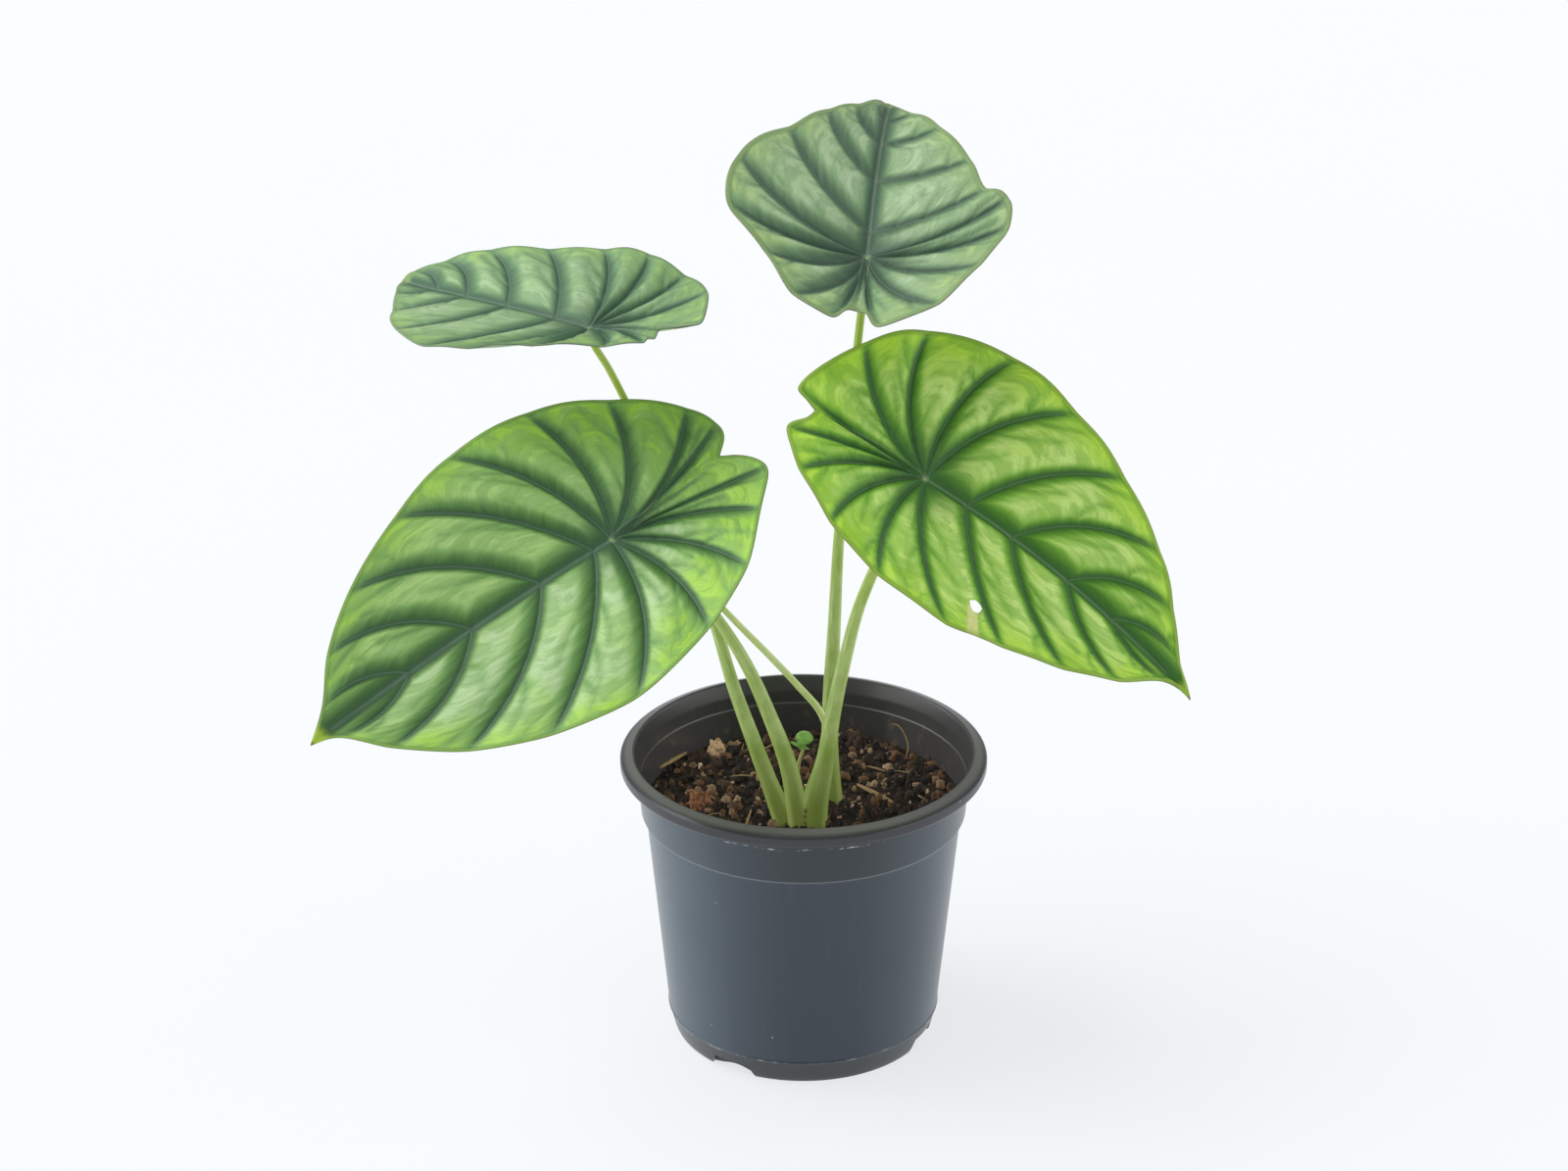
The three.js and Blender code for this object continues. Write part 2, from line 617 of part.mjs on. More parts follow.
// Seedling: a weed with two oval leaves
function seedlingSolid(margin = 0) {
  const [dx, dy, dz] = SEEDLING.lean;
  const foot = new THREE.Vector3(SEEDLING.x, SEEDLING.y, SOIL.level - SEEDLING.rootDepth);
  const top = new THREE.Vector3(SEEDLING.x + dx, SEEDLING.y + dy, SOIL.level + dz);
  const bend = new THREE.Vector3(SEEDLING.x - 0.4, SEEDLING.y, SOIL.level + 3);
  const curve = new THREE.CatmullRomCurve3([foot, bend, top]);
  const stem = new THREE.CylinderGeometry(1, 1, 1, 6, 6);
  const position = stem.attributes.position;
  for (let i = 0; i < position.count; i++) {
    const at = curve.getPointAt(position.getY(i) + 0.5);
    const radius = SEEDLING.stemRadius + margin;
    at.x += radius * position.getX(i);
    at.y -= radius * position.getZ(i);
    if (position.getY(i) < -0.49) at.z -= margin;
    position.setXYZ(i, at.x, at.y, at.z);
  }
  let plant = solidFrom(stem);
  if (margin > 0) return plant;
  const leaves = [
    { size: [3.3, 2.7, 0.5], tilt: [0.8, 0.2, 0.1], at: [dx + 0.2, dy - 0.9, dz - 0.6] },
    { size: [3.2, 1.3, 0.5], tilt: [0.7, 0.4, -0.3], at: [dx - 1.6, dy + 0.3, dz - 4.4] },
  ];
  for (const { size, tilt, at } of leaves) {
    const leaf = new THREE.SphereGeometry(1, 12, 6).scale(...size);
    leaf.rotateX(tilt[0]).rotateY(tilt[1]).rotateZ(tilt[2]);
    leaf.translate(SEEDLING.x + at[0], SEEDLING.y + at[1], SOIL.level + at[2]);
    plant = plant.add(solidFrom(leaf));
  }
  return plant;
}

// The assembled plant
const MATERIALS = {
  pot: new THREE.MeshStandardMaterial({ color: 0x50585f, roughness: 0.45, metalness: 0 }),
  soil: new THREE.MeshStandardMaterial({ color: 0x3a2a20, roughness: 1, metalness: 0 }),
  crown: new THREE.MeshStandardMaterial({ color: 0x7a6a44, roughness: 0.8, metalness: 0 }),
  stalk: new THREE.MeshStandardMaterial({ color: 0x93ac55, roughness: 0.5, metalness: 0 }),
  blade: new THREE.MeshStandardMaterial({ color: 0x5c8a4a, roughness: 0.45, metalness: 0 }),
  seedling: new THREE.MeshStandardMaterial({ color: 0x4f8a45, roughness: 0.5, metalness: 0 }),
};

const plant = new THREE.Group();

function addMesh(name, solid, material) {
  const mesh = new THREE.Mesh(geometryFrom(solid), material);
  mesh.name = name;
  plant.add(mesh);
}

addMesh("pot", potSolid(), MATERIALS.pot);
const spaces = Object.values(STALKS).map((stalk) => stalkSolid(stalk, CLEARANCE));
addMesh("soil", soilSolid(spaces), MATERIALS.soil);
addMesh("crown", crownSolid(), MATERIALS.crown);

// Each stalk stands on the crown and gives way to the ones before it, as the sheaths clasp each other.
const crownSpace = crownSolid(CLEARANCE);
Object.entries(STALKS).forEach(([name, stalk], i) => {
  let solid = stalkSolid(stalk).subtract(crownSpace);
  for (const space of spaces.slice(0, i)) solid = solid.subtract(space);
  addMesh("stalk_" + name, solid, MATERIALS.stalk);
});

for (const [name, leaf] of Object.entries(LEAVES)) {
  let blade = bladeSolid(leaf);
  if (name === "front_right") blade = blade.subtract(tearSolid(leaf));
  addMesh("blade_" + name, blade, MATERIALS.blade);
}
addMesh("seedling", seedlingSolid(), MATERIALS.seedling);

export default plant;
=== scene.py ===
"""A potted green shield alocasia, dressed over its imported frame.

Fields that hold sizes are in millimetres, and the meshes are made in metres. +Z is up, +X is to the right
and -Y is towards the viewer. Blade coordinates are ahead of the stalk along the midrib and across it.
"""

import logging
import math
from dataclasses import dataclass, field
from enum import Enum
from typing import Iterable, Sequence, Union

import bmesh
import bpy
import numpy as np
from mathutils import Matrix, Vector, kdtree, noise


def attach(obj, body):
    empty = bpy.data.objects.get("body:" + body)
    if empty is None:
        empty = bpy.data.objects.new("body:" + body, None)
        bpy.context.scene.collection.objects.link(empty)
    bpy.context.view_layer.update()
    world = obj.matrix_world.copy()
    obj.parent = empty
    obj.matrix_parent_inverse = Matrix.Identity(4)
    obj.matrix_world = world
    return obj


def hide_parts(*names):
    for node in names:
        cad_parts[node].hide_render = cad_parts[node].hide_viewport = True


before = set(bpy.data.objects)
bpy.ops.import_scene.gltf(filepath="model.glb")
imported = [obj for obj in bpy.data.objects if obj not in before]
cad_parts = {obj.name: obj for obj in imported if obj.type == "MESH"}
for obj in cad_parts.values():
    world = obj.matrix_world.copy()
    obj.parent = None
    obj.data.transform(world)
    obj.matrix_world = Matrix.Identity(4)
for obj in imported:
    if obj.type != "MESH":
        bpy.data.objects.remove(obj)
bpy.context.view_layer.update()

LOG = logging.getLogger("alocasia")
MM = 0.001
ROOT = "root"
Point = Sequence[float]
Faces = list[tuple[int, ...]]
Shape = tuple[np.ndarray, Faces]


class Half(Enum):
    """The halves of a blade, with the sign of their side of the midrib."""

    LEFT = 1
    RIGHT = -1


class Mineral(Enum):
    """The kinds of grain in the soil, with their tone in the grain finish."""

    CRUMB = 0.0
    PERLITE = 1.0
    PEBBLE = 2.0
    BRICK = 3.0


class Axis(Enum):
    """The axes of the frame, with the two that a turn about each carries round."""

    X = (1, 2)
    Y = (2, 0)
    Z = (0, 1)


def linear(code: str) -> tuple[float, float, float, float]:
    """Turns a screen colour into the linear colour that the nodes take.

    Args:
        code: the colour as six hexadecimal digits after a hash sign.

    Returns:
        Red, green, blue and full opacity.
    """
    parts = [int(code[i : i + 2], 16) / 255 for i in (1, 3, 5)]
    red, green, blue = (c / 12.92 if c <= 0.04045 else ((c + 0.055) / 1.055) ** 2.4 for c in parts)
    return (red, green, blue, 1.0)


def smooth(value: np.ndarray) -> np.ndarray:
    """Eases from 0 to 1 as the value goes from 0 to 1."""
    t = np.clip(value, 0, 1)
    return t * t * (3 - 2 * t)


def swell(distance: np.ndarray, height: float, width: float) -> np.ndarray:
    """Reads a rounded ridge that is e times lower at the width's distance than on its line."""
    return height * np.exp(-((distance / width) ** 2))


def unit(vectors: np.ndarray) -> np.ndarray:
    """Scales each row to a length of 1."""
    return vectors / np.linalg.norm(vectors, axis=1)[:, None]


def turned(axis: Axis, angle: float) -> np.ndarray:
    """Makes the matrix of a turn.

    Args:
        axis: the axis that it goes about.
        angle: how far it goes, in radians.

    Returns:
        The matrix, for columns of points.
    """
    i, j = axis.value
    matrix = np.eye(3)
    matrix[i, i] = matrix[j, j] = math.cos(angle)
    matrix[j, i] = math.sin(angle)
    matrix[i, j] = -math.sin(angle)
    return matrix


def around(radius: float, angle: Union[float, np.ndarray], height: float = 0.0) -> np.ndarray:
    """Places points round the Z axis, at angles in radians."""
    return np.stack(np.broadcast_arrays(radius * np.cos(angle), radius * np.sin(angle), height), -1)


def ring_angles(sides: int) -> np.ndarray:
    """Divides a full turn into equal steps, in radians."""
    return 2 * np.pi * np.arange(sides) / sides


def catmull_rom(points: np.ndarray, at: np.ndarray) -> np.ndarray:
    """Reads a centripetal curve through points.

    Args:
        points: the points that the curve passes through, one a row.
        at: where to read it, counted in points from the first.

    Returns:
        One point a row.
    """
    last = len(points) - 2
    ends = np.vstack([2 * points[0] - points[1], points, 2 * points[-1] - points[-2]])
    low = np.clip(np.floor(at).astype(int), 0, last)
    w = (at - low)[:, None]
    p0, p1, p2, p3 = (ends[low + i] for i in range(4))
    pairs = ((p0, p1), (p1, p2), (p2, p3))
    d0, d1, d2 = (np.maximum(((b - a) ** 2).sum(1), 1e-12)[:, None] ** 0.25 for a, b in pairs)
    t1 = ((p1 - p0) / d0 - (p2 - p0) / (d0 + d1) + (p2 - p1) / d1) * d1
    t2 = ((p2 - p1) / d1 - (p3 - p1) / (d1 + d2) + (p3 - p2) / d2) * d1
    return p1 + t1 * w + (3 * (p2 - p1) - 2 * t1 - t2) * w**2 + (2 * (p1 - p2) + t1 + t2) * w**3


def rounded(corners: Sequence[Point], reach: float = 0.9, share: float = 0.42) -> np.ndarray:
    """Rounds the corners of an open outline.

    Args:
        corners: its corners in order.
        reach: how far from a corner its rounding may start.
        share: the share of the shorter side that the rounding may take up.

    Returns:
        The points of the rounded outline, one a row.
    """
    points = [corners[0]]
    for trio in zip(corners, corners[1:], corners[2:]):
        before, corner, after = (np.array(p, float) for p in trio)
        back, on = before - corner, after - corner
        cut = min(reach, share * np.linalg.norm(back), share * np.linalg.norm(on))
        start = corner + back / np.linalg.norm(back) * cut
        end = corner + on / np.linalg.norm(on) * cut
        for t in (0, 0.25, 0.5, 0.75, 1):
            points.append((1 - t) ** 2 * start + 2 * t * (1 - t) * corner + t * t * end)
    points.append(corners[-1])
    return np.array(points, float)


def nearest(points: np.ndarray, queries: np.ndarray) -> np.ndarray:
    """Measures how far each query lies from the nearest of some points in the plane.

    Args:
        points: the points, one a row.
        queries: the places to measure from, one a row.

    Returns:
        One distance for each query.
    """
    tree = kdtree.KDTree(len(points))
    for i, (x, y) in enumerate(points):
        tree.insert((x, y, 0), i)
    tree.balance()
    return np.array([tree.find((x, y, 0))[2] for x, y in queries])


def grid_faces(rows: int, columns: int) -> Faces:
    """Lists the faces between rings of points.

    Args:
        rows: how many rings there are.
        columns: how many points a ring has.

    Returns:
        The four corners of each face, seen from outside where the rings run anticlockwise and upwards.
    """
    faces = []
    for i in range(rows - 1):
        for j in range(columns):
            k = (j + 1) % columns
            faces.append((i * columns + j, i * columns + k, (i + 1) * columns + k, (i + 1) * columns + j))
    return faces


def capped_faces(rows: int, columns: int) -> Faces:
    """Lists the faces of rings that a point closes at each end.

    Args:
        rows: how many rings there are.
        columns: how many points a ring has; the first ring's end point comes after them, and then the last's.

    Returns:
        The faces, seen from outside where the rings run anticlockwise and upwards.
    """
    faces = grid_faces(rows, columns)
    count = rows * columns
    top = count - columns
    for j in range(columns):
        k = (j + 1) % columns
        faces.append((count, k, j))
        faces.append((count + 1, top + j, top + k))
    return faces


def merged(shapes: Iterable[Shape]) -> Shape:
    """Joins the points and the faces of some shapes.

    Args:
        shapes: the shapes in order.

    Returns:
        One shape.
    """
    points, faces, count = [], [], 0
    for more, sides in shapes:
        points.append(more)
        faces += [tuple(i + count for i in face) for face in sides]
        count += len(more)
    return np.vstack(points), faces


def make_piece(
    name: str, shape: Shape, materials: Iterable[bpy.types.Material], flat_from: int | None = None
) -> bpy.types.Object:
    """Makes one mesh piece that moves with the plant.

    Args:
        name: the piece's name.
        shape: its vertices in millimetres, one a row, and its faces.
        materials: its materials, the first on every face.
        flat_from: the first face that isn't shaded smooth, where some aren't.

    Returns:
        The object.
    """
    points, faces = shape
    mesh = bpy.data.meshes.new(name)
    mesh.from_pydata((points * MM).tolist(), [], faces)
    shaded = np.ones(len(mesh.polygons), bool)
    if flat_from is not None:
        shaded[flat_from:] = False
    mesh.polygons.foreach_set("use_smooth", shaded)
    for material in materials:
        mesh.materials.append(material)
    mesh.update()
    piece = bpy.data.objects.new(name, mesh)
    bpy.context.scene.collection.objects.link(piece)
    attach(piece, ROOT)
    return piece


def note(piece: bpy.types.Object, name: str, values: np.ndarray) -> None:
    """Keeps three numbers for each vertex of a piece, for its material to read."""
    attribute = piece.data.attributes.new(name, "FLOAT_VECTOR", "POINT")
    attribute.data.foreach_set("vector", values.astype(np.float32).ravel())


def ball(detail: int) -> Shape:
    """Makes a ball of radius 1 to shape further.

    Args:
        detail: how often its faces are divided.

    Returns:
        The ball.
    """
    mesh = bmesh.new()
    bmesh.ops.create_icosphere(mesh, subdivisions=detail, radius=1.0)
    points = np.array([v.co[:] for v in mesh.verts])
    faces = [tuple(v.index for v in f.verts) for f in mesh.faces]
    mesh.free()
    return points, faces


def roughness(points: np.ndarray, scale: float, offset: Point) -> np.ndarray:
    """Reads smooth noise at each point, from about -1 to 1."""
    return np.array([noise.noise(Vector(p * scale) + Vector(offset)) for p in points])


def fibre(route: Sequence[Point], radius: float, sides: int = 8) -> Shape:
    """Makes a straw, a rootlet or a thin stem along a route.

    Args:
        route: the points that it follows.
        radius: its radius in the middle; its ends are thinner.
        sides: how many sides it has.

    Returns:
        The fibre, closed at both ends.
    """
    line = catmull_rom(np.array(route, float), np.linspace(0, len(route) - 1, 24))
    tangent = unit(np.gradient(line, axis=0))
    aside = unit(np.cross(tangent, (0.31, 0.17, 0.93)))
    above = np.cross(tangent, aside)
    angle = ring_angles(sides)
    width = radius * (0.55 + 0.45 * np.sin(np.linspace(0.2, np.pi - 0.2, len(line))))
    ring = aside[:, None] * np.cos(angle)[None, :, None] + above[:, None] * np.sin(angle)[None, :, None]
    points = (line[:, None] + ring * width[:, None, None]).reshape(-1, 3)
    faces = grid_faces(len(line), sides)
    faces += [tuple(range(sides))[::-1], tuple(range(len(points) - sides, len(points)))]
    return points, faces


class Signal:
    """A value that a material works out. Arithmetic on it adds nodes to the material."""

    def __init__(self, bench: "Bench", socket: bpy.types.NodeSocket) -> None:
        """Wraps the output of a node."""
        self.bench = bench
        self.socket = socket

    def __add__(self, other: "Value") -> "Signal":
        """Adds another value."""
        return self.bench.math("ADD", self, other)

    def __sub__(self, other: "Value") -> "Signal":
        """Takes another value away."""
        return self.bench.math("SUBTRACT", self, other)

    def __mul__(self, other: "Value") -> "Signal":
        """Multiplies by another value."""
        return self.bench.math("MULTIPLY", self, other)

    def __abs__(self) -> "Signal":
        """Leaves the sign off."""
        return self.bench.math("ABSOLUTE", self)

    def ease(self, start: "Value", end: "Value", low: float = 0.0, high: float = 1.0) -> "Signal":
        """Eases from low to high as the value goes from start to end."""
        inputs = {"Value": self, "From Min": start, "From Max": end, "To Min": low, "To Max": high}
        return self.bench.add("MapRange", 0, inputs, interpolation_type="SMOOTHSTEP")

    def band(self, middle: float, outer: float, inner: float) -> "Signal":
        """Marks where it is close to a number: 1 within the inner distance, 0 beyond the outer one."""
        return abs(self - middle).ease(outer, inner)


Value = Union[float, Signal]
Colour = Union[str, Signal]


class Bench:
    """The node tree of one material, with short ways to add what the finishes use."""

    def __init__(self, name: str) -> None:
        """Starts a material with a plain shader.

        Args:
            name: the material's name.
        """
        self.material = bpy.data.materials.new(name)
        self.material.use_nodes = True
        self.tree = self.material.node_tree
        self.shader = self.tree.nodes["Principled BSDF"]

    def fill(self, node: bpy.types.Node, inputs: dict[Union[int, str], object]) -> None:
        """Sets or links inputs of a node.

        Args:
            node: the node.
            inputs: a number, a screen colour or a signal for each named or numbered input.
        """
        for key, value in inputs.items():
            if isinstance(value, Signal):
                self.tree.links.new(value.socket, node.inputs[key])
            else:
                node.inputs[key].default_value = linear(value) if isinstance(value, str) else value

    def node(self, kind: str, inputs: dict[Union[int, str], object], **settings: object) -> bpy.types.Node:
        """Adds a node.

        Args:
            kind: Blender's name for the node, after ShaderNode.
            inputs: what its inputs take.
            settings: the node's own properties.

        Returns:
            The node.
        """
        node = self.tree.nodes.new("ShaderNode" + kind)
        for key, value in settings.items():
            setattr(node, key, value)
        self.fill(node, inputs)
        return node

    def add(
        self, kind: str, output: Union[int, str], inputs: dict[Union[int, str], object], **settings: object
    ) -> Signal:
        """Adds a node and hands over one of its outputs."""
        return Signal(self, self.node(kind, inputs, **settings).outputs[output])

    def math(self, operation: str, first: Value, second: Value = 0.0) -> Signal:
        """Adds one step of arithmetic."""
        return self.add("Math", 0, {0: first, 1: second}, operation=operation)

    def vector(self, x: Value, y: Value, z: Value) -> Signal:
        """Joins three numbers."""
        return self.add("CombineXYZ", 0, {0: x, 1: y, 2: z})

    def parts(self, vector: Signal) -> tuple[Signal, Signal, Signal]:
        """Splits a vector into its three numbers."""
        x, y, z = self.node("SeparateXYZ", {0: vector}).outputs
        return Signal(self, x), Signal(self, y), Signal(self, z)

    def noted(self, name: str) -> tuple[Signal, Signal, Signal]:
        """Reads the three numbers that a piece keeps for its vertices."""
        return self.parts(self.add("Attribute", "Vector", {}, attribute_name=name))

    def place(self) -> Signal:
        """Reads the place on the object, in metres."""
        return self.add("TexCoord", "Object", {})

    def noise(self, vector: Signal, scale: float, detail: float = 2.0, rough: float = 0.5) -> Signal:
        """Adds a cloudy pattern from 0 to 1."""
        inputs = {"Vector": vector, "Scale": scale, "Detail": detail, "Roughness": rough}
        return self.add("TexNoise", 0, inputs)

    def cells(self, vector: Signal, scale: float) -> Signal:
        """Adds the distance from scattered points."""
        return self.add("TexVoronoi", "Distance", {"Vector": vector, "Scale": scale})

    def mix(self, share: Value, under: Colour, over: Colour) -> Signal:
        """Lays a share of one colour over another."""
        inputs = {0: share, 6: under, 7: over}
        return self.add("Mix", 2, inputs, data_type="RGBA", blend_type="MIX", clamp_factor=True)

    def far(self, x: Signal, y: Signal) -> Signal:
        """Measures how far a place in the plane lies from the middle."""
        return self.math("SQRT", self.math("POWER", x, 2.0) + self.math("POWER", y, 2.0))

    def highest(self, first: Signal, *others: Signal) -> Signal:
        """Takes the highest of some numbers.

        Args:
            first: the first of them.
            others: the rest.

        Returns:
            The highest at every place.
        """
        for other in others:
            first = self.math("MAXIMUM", first, other)
        return first

    def close(
        self, colour: Signal, rough: Value, height: Signal | None = None, depth: float = 0.0, **own: float
    ) -> bpy.types.Material:
        """Fills the shader and hands over the material.

        Args:
            colour: the surface colour.
            rough: the roughness.
            height: the height of the fine relief, from 0 to 1, where there is any.
            depth: how deep that relief is, in millimetres.
            own: fixed numbers for other inputs of the shader, with underscores for spaces.

        Returns:
            The material.
        """
        inputs = {"Base Color": colour, "Roughness": rough}
        inputs.update({key.replace("_", " "): value for key, value in own.items()})
        if height is not None:
            bump = {"Height": height, "Distance": depth * MM, "Strength": 1.0}
            inputs["Normal"] = self.add("Bump", 0, bump)
        self.fill(self.shader, inputs)
        return self.material


class Coat:
    """A colour with others laid over it."""

    def __init__(self, bench: Bench, base: Colour) -> None:
        """Starts with one colour all over."""
        self.bench = bench
        self.colour = base

    def lay(self, colour: Colour, share: Value) -> None:
        """Lays a share of a colour over what is there."""
        self.colour = self.bench.mix(share, self.colour, colour)


class BladeSpot:
    """What a blade keeps at each place for its finish, in millimetres, read back in one material."""

    def __init__(self, bench: Bench) -> None:
        """Reads what the blade keeps.

        The lane is the distance from the nearest vein, the way along it, and the side of it. The slant is
        that way, less the more the farther from the vein, so that strokes along it slope. The span is the
        way out from the root to the rim from 0 to 1, the turn of the fine quilting, and the distance from
        the tip.

        Args:
            bench: the material in hand.
        """
        self.vein, self.slant, self.side = bench.noted("lane")
        self.ahead, self.across, self.edge = bench.noted("sheet")
        self.midrib, self.branch, self.seam = bench.noted("rib")
        self.reach, self.phase, self.to_tip = bench.noted("span")
        self.flat = bench.vector(self.ahead, self.across, 0.0)
        self.out = bench.far(self.ahead, self.across)
        warp = bench.noise(bench.vector(self.ahead, self.across, 4.0), 0.11)
        sloped = warp * 4.5 + self.slant
        drift = self.ahead * 0.05 + self.across * 0.08
        stroke = bench.vector(sloped, self.vein * 0.2, drift)
        self.broad = bench.noise(stroke, 0.3, 3.0)
        self.hair = bench.noise(stroke, 1.15, 4.0, 0.65)
        self.mottle = bench.noise(bench.vector(sloped, self.vein * 0.5, drift), 0.19, 3.0, 0.55)


@dataclass(frozen=True)
class BladeFinish:
    """The look of a blade: light pillows between dark, feathered vein bands.

    Widths are in millimetres. The bands are how far the dark reaches from a vein at its root and at the rim,
    and from the midrib on its left and on its right; where those two differ, the wider one is painted shade
    on the half that faces away from the light. Lean widens the vein bands on the side of each vein that faces
    away from the light, painting the shade of the relief into the colour. A side set for the sheen lays
    painted sheen over one half.
    """

    name: str
    light: str
    sheen_and_streak: str
    fresh: str
    mid: str
    dark: str
    deep: str
    core: str
    margin: str
    outline: str
    under: str
    tip: str
    joint: str = "#9fb096"
    point: str = "#7d5a2e"
    ridge: str = "#b3c48e"
    vein_bands: tuple[float, float] = (2.7, 1.7)
    midrib_bands: tuple[float, float] = (5.5, 5.5)
    lean: float = 0.3
    feather: float = 0.34
    centre: float = 15.0
    branch_band: float = 4.2
    fresh_width: float = 17.0
    fresh_share: float = 0.8
    fresh_rear: float = 3.0
    mottling: float = 0.55
    sheen_side: float = 0.0
    rough: float = 0.46
    margin_width: float = 1.2
    seam_width: float = 1.3

    def shade(self, spot: BladeSpot) -> Signal:
        """Adds the dark bands along the veins, the midrib and the branch veins, and round the joint, widened
        as painted shade on the side of each vein and the half that face away from the light.

        Args:
            spot: what the blade keeps.

        Returns:
            The shade, from 0 to 1.
        """
        by_broad = spot.broad.ease(0.25, 0.75, -0.5 * self.feather, 0.5 * self.feather)
        feather = by_broad + spot.hair.ease(0.3, 0.7, -0.45 * self.feather, 0.45 * self.feather)
        # Painted shade: lean widens the vein bands on the side of each vein that faces away from the light.
        wide = spot.reach.ease(0.05, 0.95, *self.vein_bands) * (spot.side * self.lean + 1.0)
        band = (spot.vein + feather * wide).ease(wide * 3.3, -0.8) * spot.edge.ease(1.0, 11.0, 0.6, 1.0)
        # Painted shade: unequal midrib bands darken the half that faces away from the light more widely.
        left, right = self.midrib_bands
        stem_wide = spot.across.ease(-2.0, 2.0, right * 1.5, left * 1.5)
        stem = (feather * 2.4 + spot.midrib).ease(stem_wide, 0.2)
        middle = (feather * 3.0 + spot.out).ease(self.centre, 2.0, 0.0, 0.9)
        loop = (feather * 1.6 + spot.branch).ease(self.branch_band, -0.4, 0.0, 0.52)
        loop = loop * spot.vein.ease(8.5, 2.5, 0.6, 1.0)
        shade = spot.edge.bench.highest(band, stem, middle, loop)
        return spot.hair.ease(0.35, 0.65, -0.07, 0.07) * shade.ease(0.0, 0.3) + shade

    def pillows(self, coat: Coat, spot: BladeSpot, lanes: Signal) -> Signal:
        """Lays the light colours between the veins, with painted sheen in soft patches and pale streaks.

        Args:
            coat: the colour in hand.
            spot: what the blade keeps.
            lanes: the places away from the veins and from the rim, from 0 to 1.

        Returns:
            The thin threads of the quilting, from 0 to 1.
        """
        bench = coat.bench
        cloud = bench.noise(spot.flat, 0.045)
        # Painted sheen: soft pale patches, over one whole half where a sheen side is set.
        coat.lay(self.sheen_and_streak, (spot.across * self.sheen_side).ease(-5.0, 5.0) * cloud.ease(0.25, 0.6))
        from_rim = cloud * 9.0 + spot.edge + spot.ahead.ease(-20.0, 35.0, -self.fresh_rear, 0.0)
        coat.lay(self.fresh, from_rim.ease(self.fresh_width + 4.5, 4.0, 0.0, self.fresh_share))
        coat.lay(self.mid, spot.mottle.ease(0.42, 0.58, 0.0, self.mottling))
        coat.lay(self.mid, spot.hair.ease(0.62, 0.38, 0.0, 0.2))
        # Pale streaks along the strokes, in the same colour as the painted sheen.
        coat.lay(self.sheen_and_streak, spot.broad.ease(0.5, 0.75, 0.0, 0.2))
        patchy = lanes * bench.noise(spot.flat, 0.12).ease(0.35, 0.65, 0.25, 1.0)
        turn = bench.math("FRACT", spot.phase)
        thread = turn.band(0.5, 0.1, 0.0) * patchy
        coat.lay(self.mid, turn.band(0.5, 0.45, 0.0) * patchy * 0.14)
        coat.lay(self.dark, thread * 0.06)
        return thread

    def lines(self, coat: Coat, spot: BladeSpot, off_rim: Signal) -> None:
        """Lays the deep colour close to the veins, and their thin pale lines.

        Args:
            coat: the colour in hand.
            spot: what the blade keeps.
            off_rim: the places away from the rim, from 0 to 1.
        """
        close_in = coat.bench.highest(
            spot.vein.ease(1.6, 0.3, 0.0, 0.7),
            spot.midrib.ease(2.6, 0.7, 0.0, 0.8),
            spot.branch.ease(1.2, 0.1, 0.0, 0.16),
        )
        coat.lay(self.deep, close_in * off_rim)
        line = coat.bench.highest(
            spot.vein.ease(0.45, 0.1, 0.0, 0.35),
            spot.midrib.ease(0.8, 0.3, 0.0, 0.45),
            abs(spot.seam - self.seam_width).ease(0.5, 0.1, 0.0, 0.45),
        )
        coat.lay(self.core, line * off_rim)

    def ends(self, coat: Coat, spot: BladeSpot) -> None:
        """Lays the joint, the margin and the tip.

        Args:
            coat: the colour in hand.
            spot: what the blade keeps.
        """
        width = self.margin_width
        coat.lay(self.joint, spot.out.ease(1.7, 0.6, 0.0, 0.4))
        coat.lay(self.deep, spot.edge.ease(width + 0.8, width, 0.0, 0.3))
        coat.lay(self.margin, spot.edge.ease(width, width - 0.5))
        coat.lay(self.outline, spot.edge.ease(0.3, 0.1, 0.0, 0.8))
        coat.lay(self.tip, spot.to_tip.ease(9.0, 4.5, 0.0, 0.85))
        coat.lay(self.point, spot.to_tip.ease(2.4, 0.8, 0.0, 0.9))

    def damage(self, coat: Coat, spot: BladeSpot) -> None:
        """Leaves the colour as it is. A blade with damage lays it here."""

    def top(self) -> bpy.types.Material:
        """Makes the material of the upper face.

        Returns:
            The material.
        """
        bench = Bench(self.name)
        spot = BladeSpot(bench)
        coat = Coat(bench, self.light)
        off_rim = spot.edge.ease(2.0, 4.5)
        thread = self.pillows(coat, spot, spot.vein.ease(1.2, 4.0) * off_rim)
        shade = self.shade(spot)
        coat.lay(self.mid, shade.ease(0.0, 0.6))
        coat.lay(self.dark, shade.ease(0.3, 1.0))
        coat.lay(self.deep, spot.out.ease(26.0, 4.0, 0.0, 0.6))
        self.lines(coat, spot, off_rim)
        self.ends(coat, spot)
        self.damage(coat, spot)
        grain = bench.noise(spot.flat, 1.6, 3.0)
        height = spot.hair * 0.7 + grain * 0.3 + thread * -0.25
        rough = grain.ease(0.2, 0.8, self.rough - 0.05, self.rough + 0.08)
        return bench.close(coat.colour, rough, height, 0.25, Specular_IOR_Level=0.28)

    def lower(self) -> bpy.types.Material:
        """Makes the material of the lower face.

        Returns:
            The material.
        """
        bench = Bench(self.name + "_under")
        spot = BladeSpot(bench)
        coat = Coat(bench, self.under)
        coat.lay(self.light, spot.hair.ease(0.3, 0.7))
        coat.lay(self.dark, spot.vein.ease(2.6, 0.4, 0.0, 0.6))
        coat.lay(self.ridge, bench.highest(spot.vein.ease(0.9, 0.4), spot.midrib.ease(1.8, 0.9)) * 0.85)
        coat.lay(self.outline, spot.edge.ease(0.9, 0.4))
        return bench.close(coat.colour, 0.55, spot.hair, 0.2)


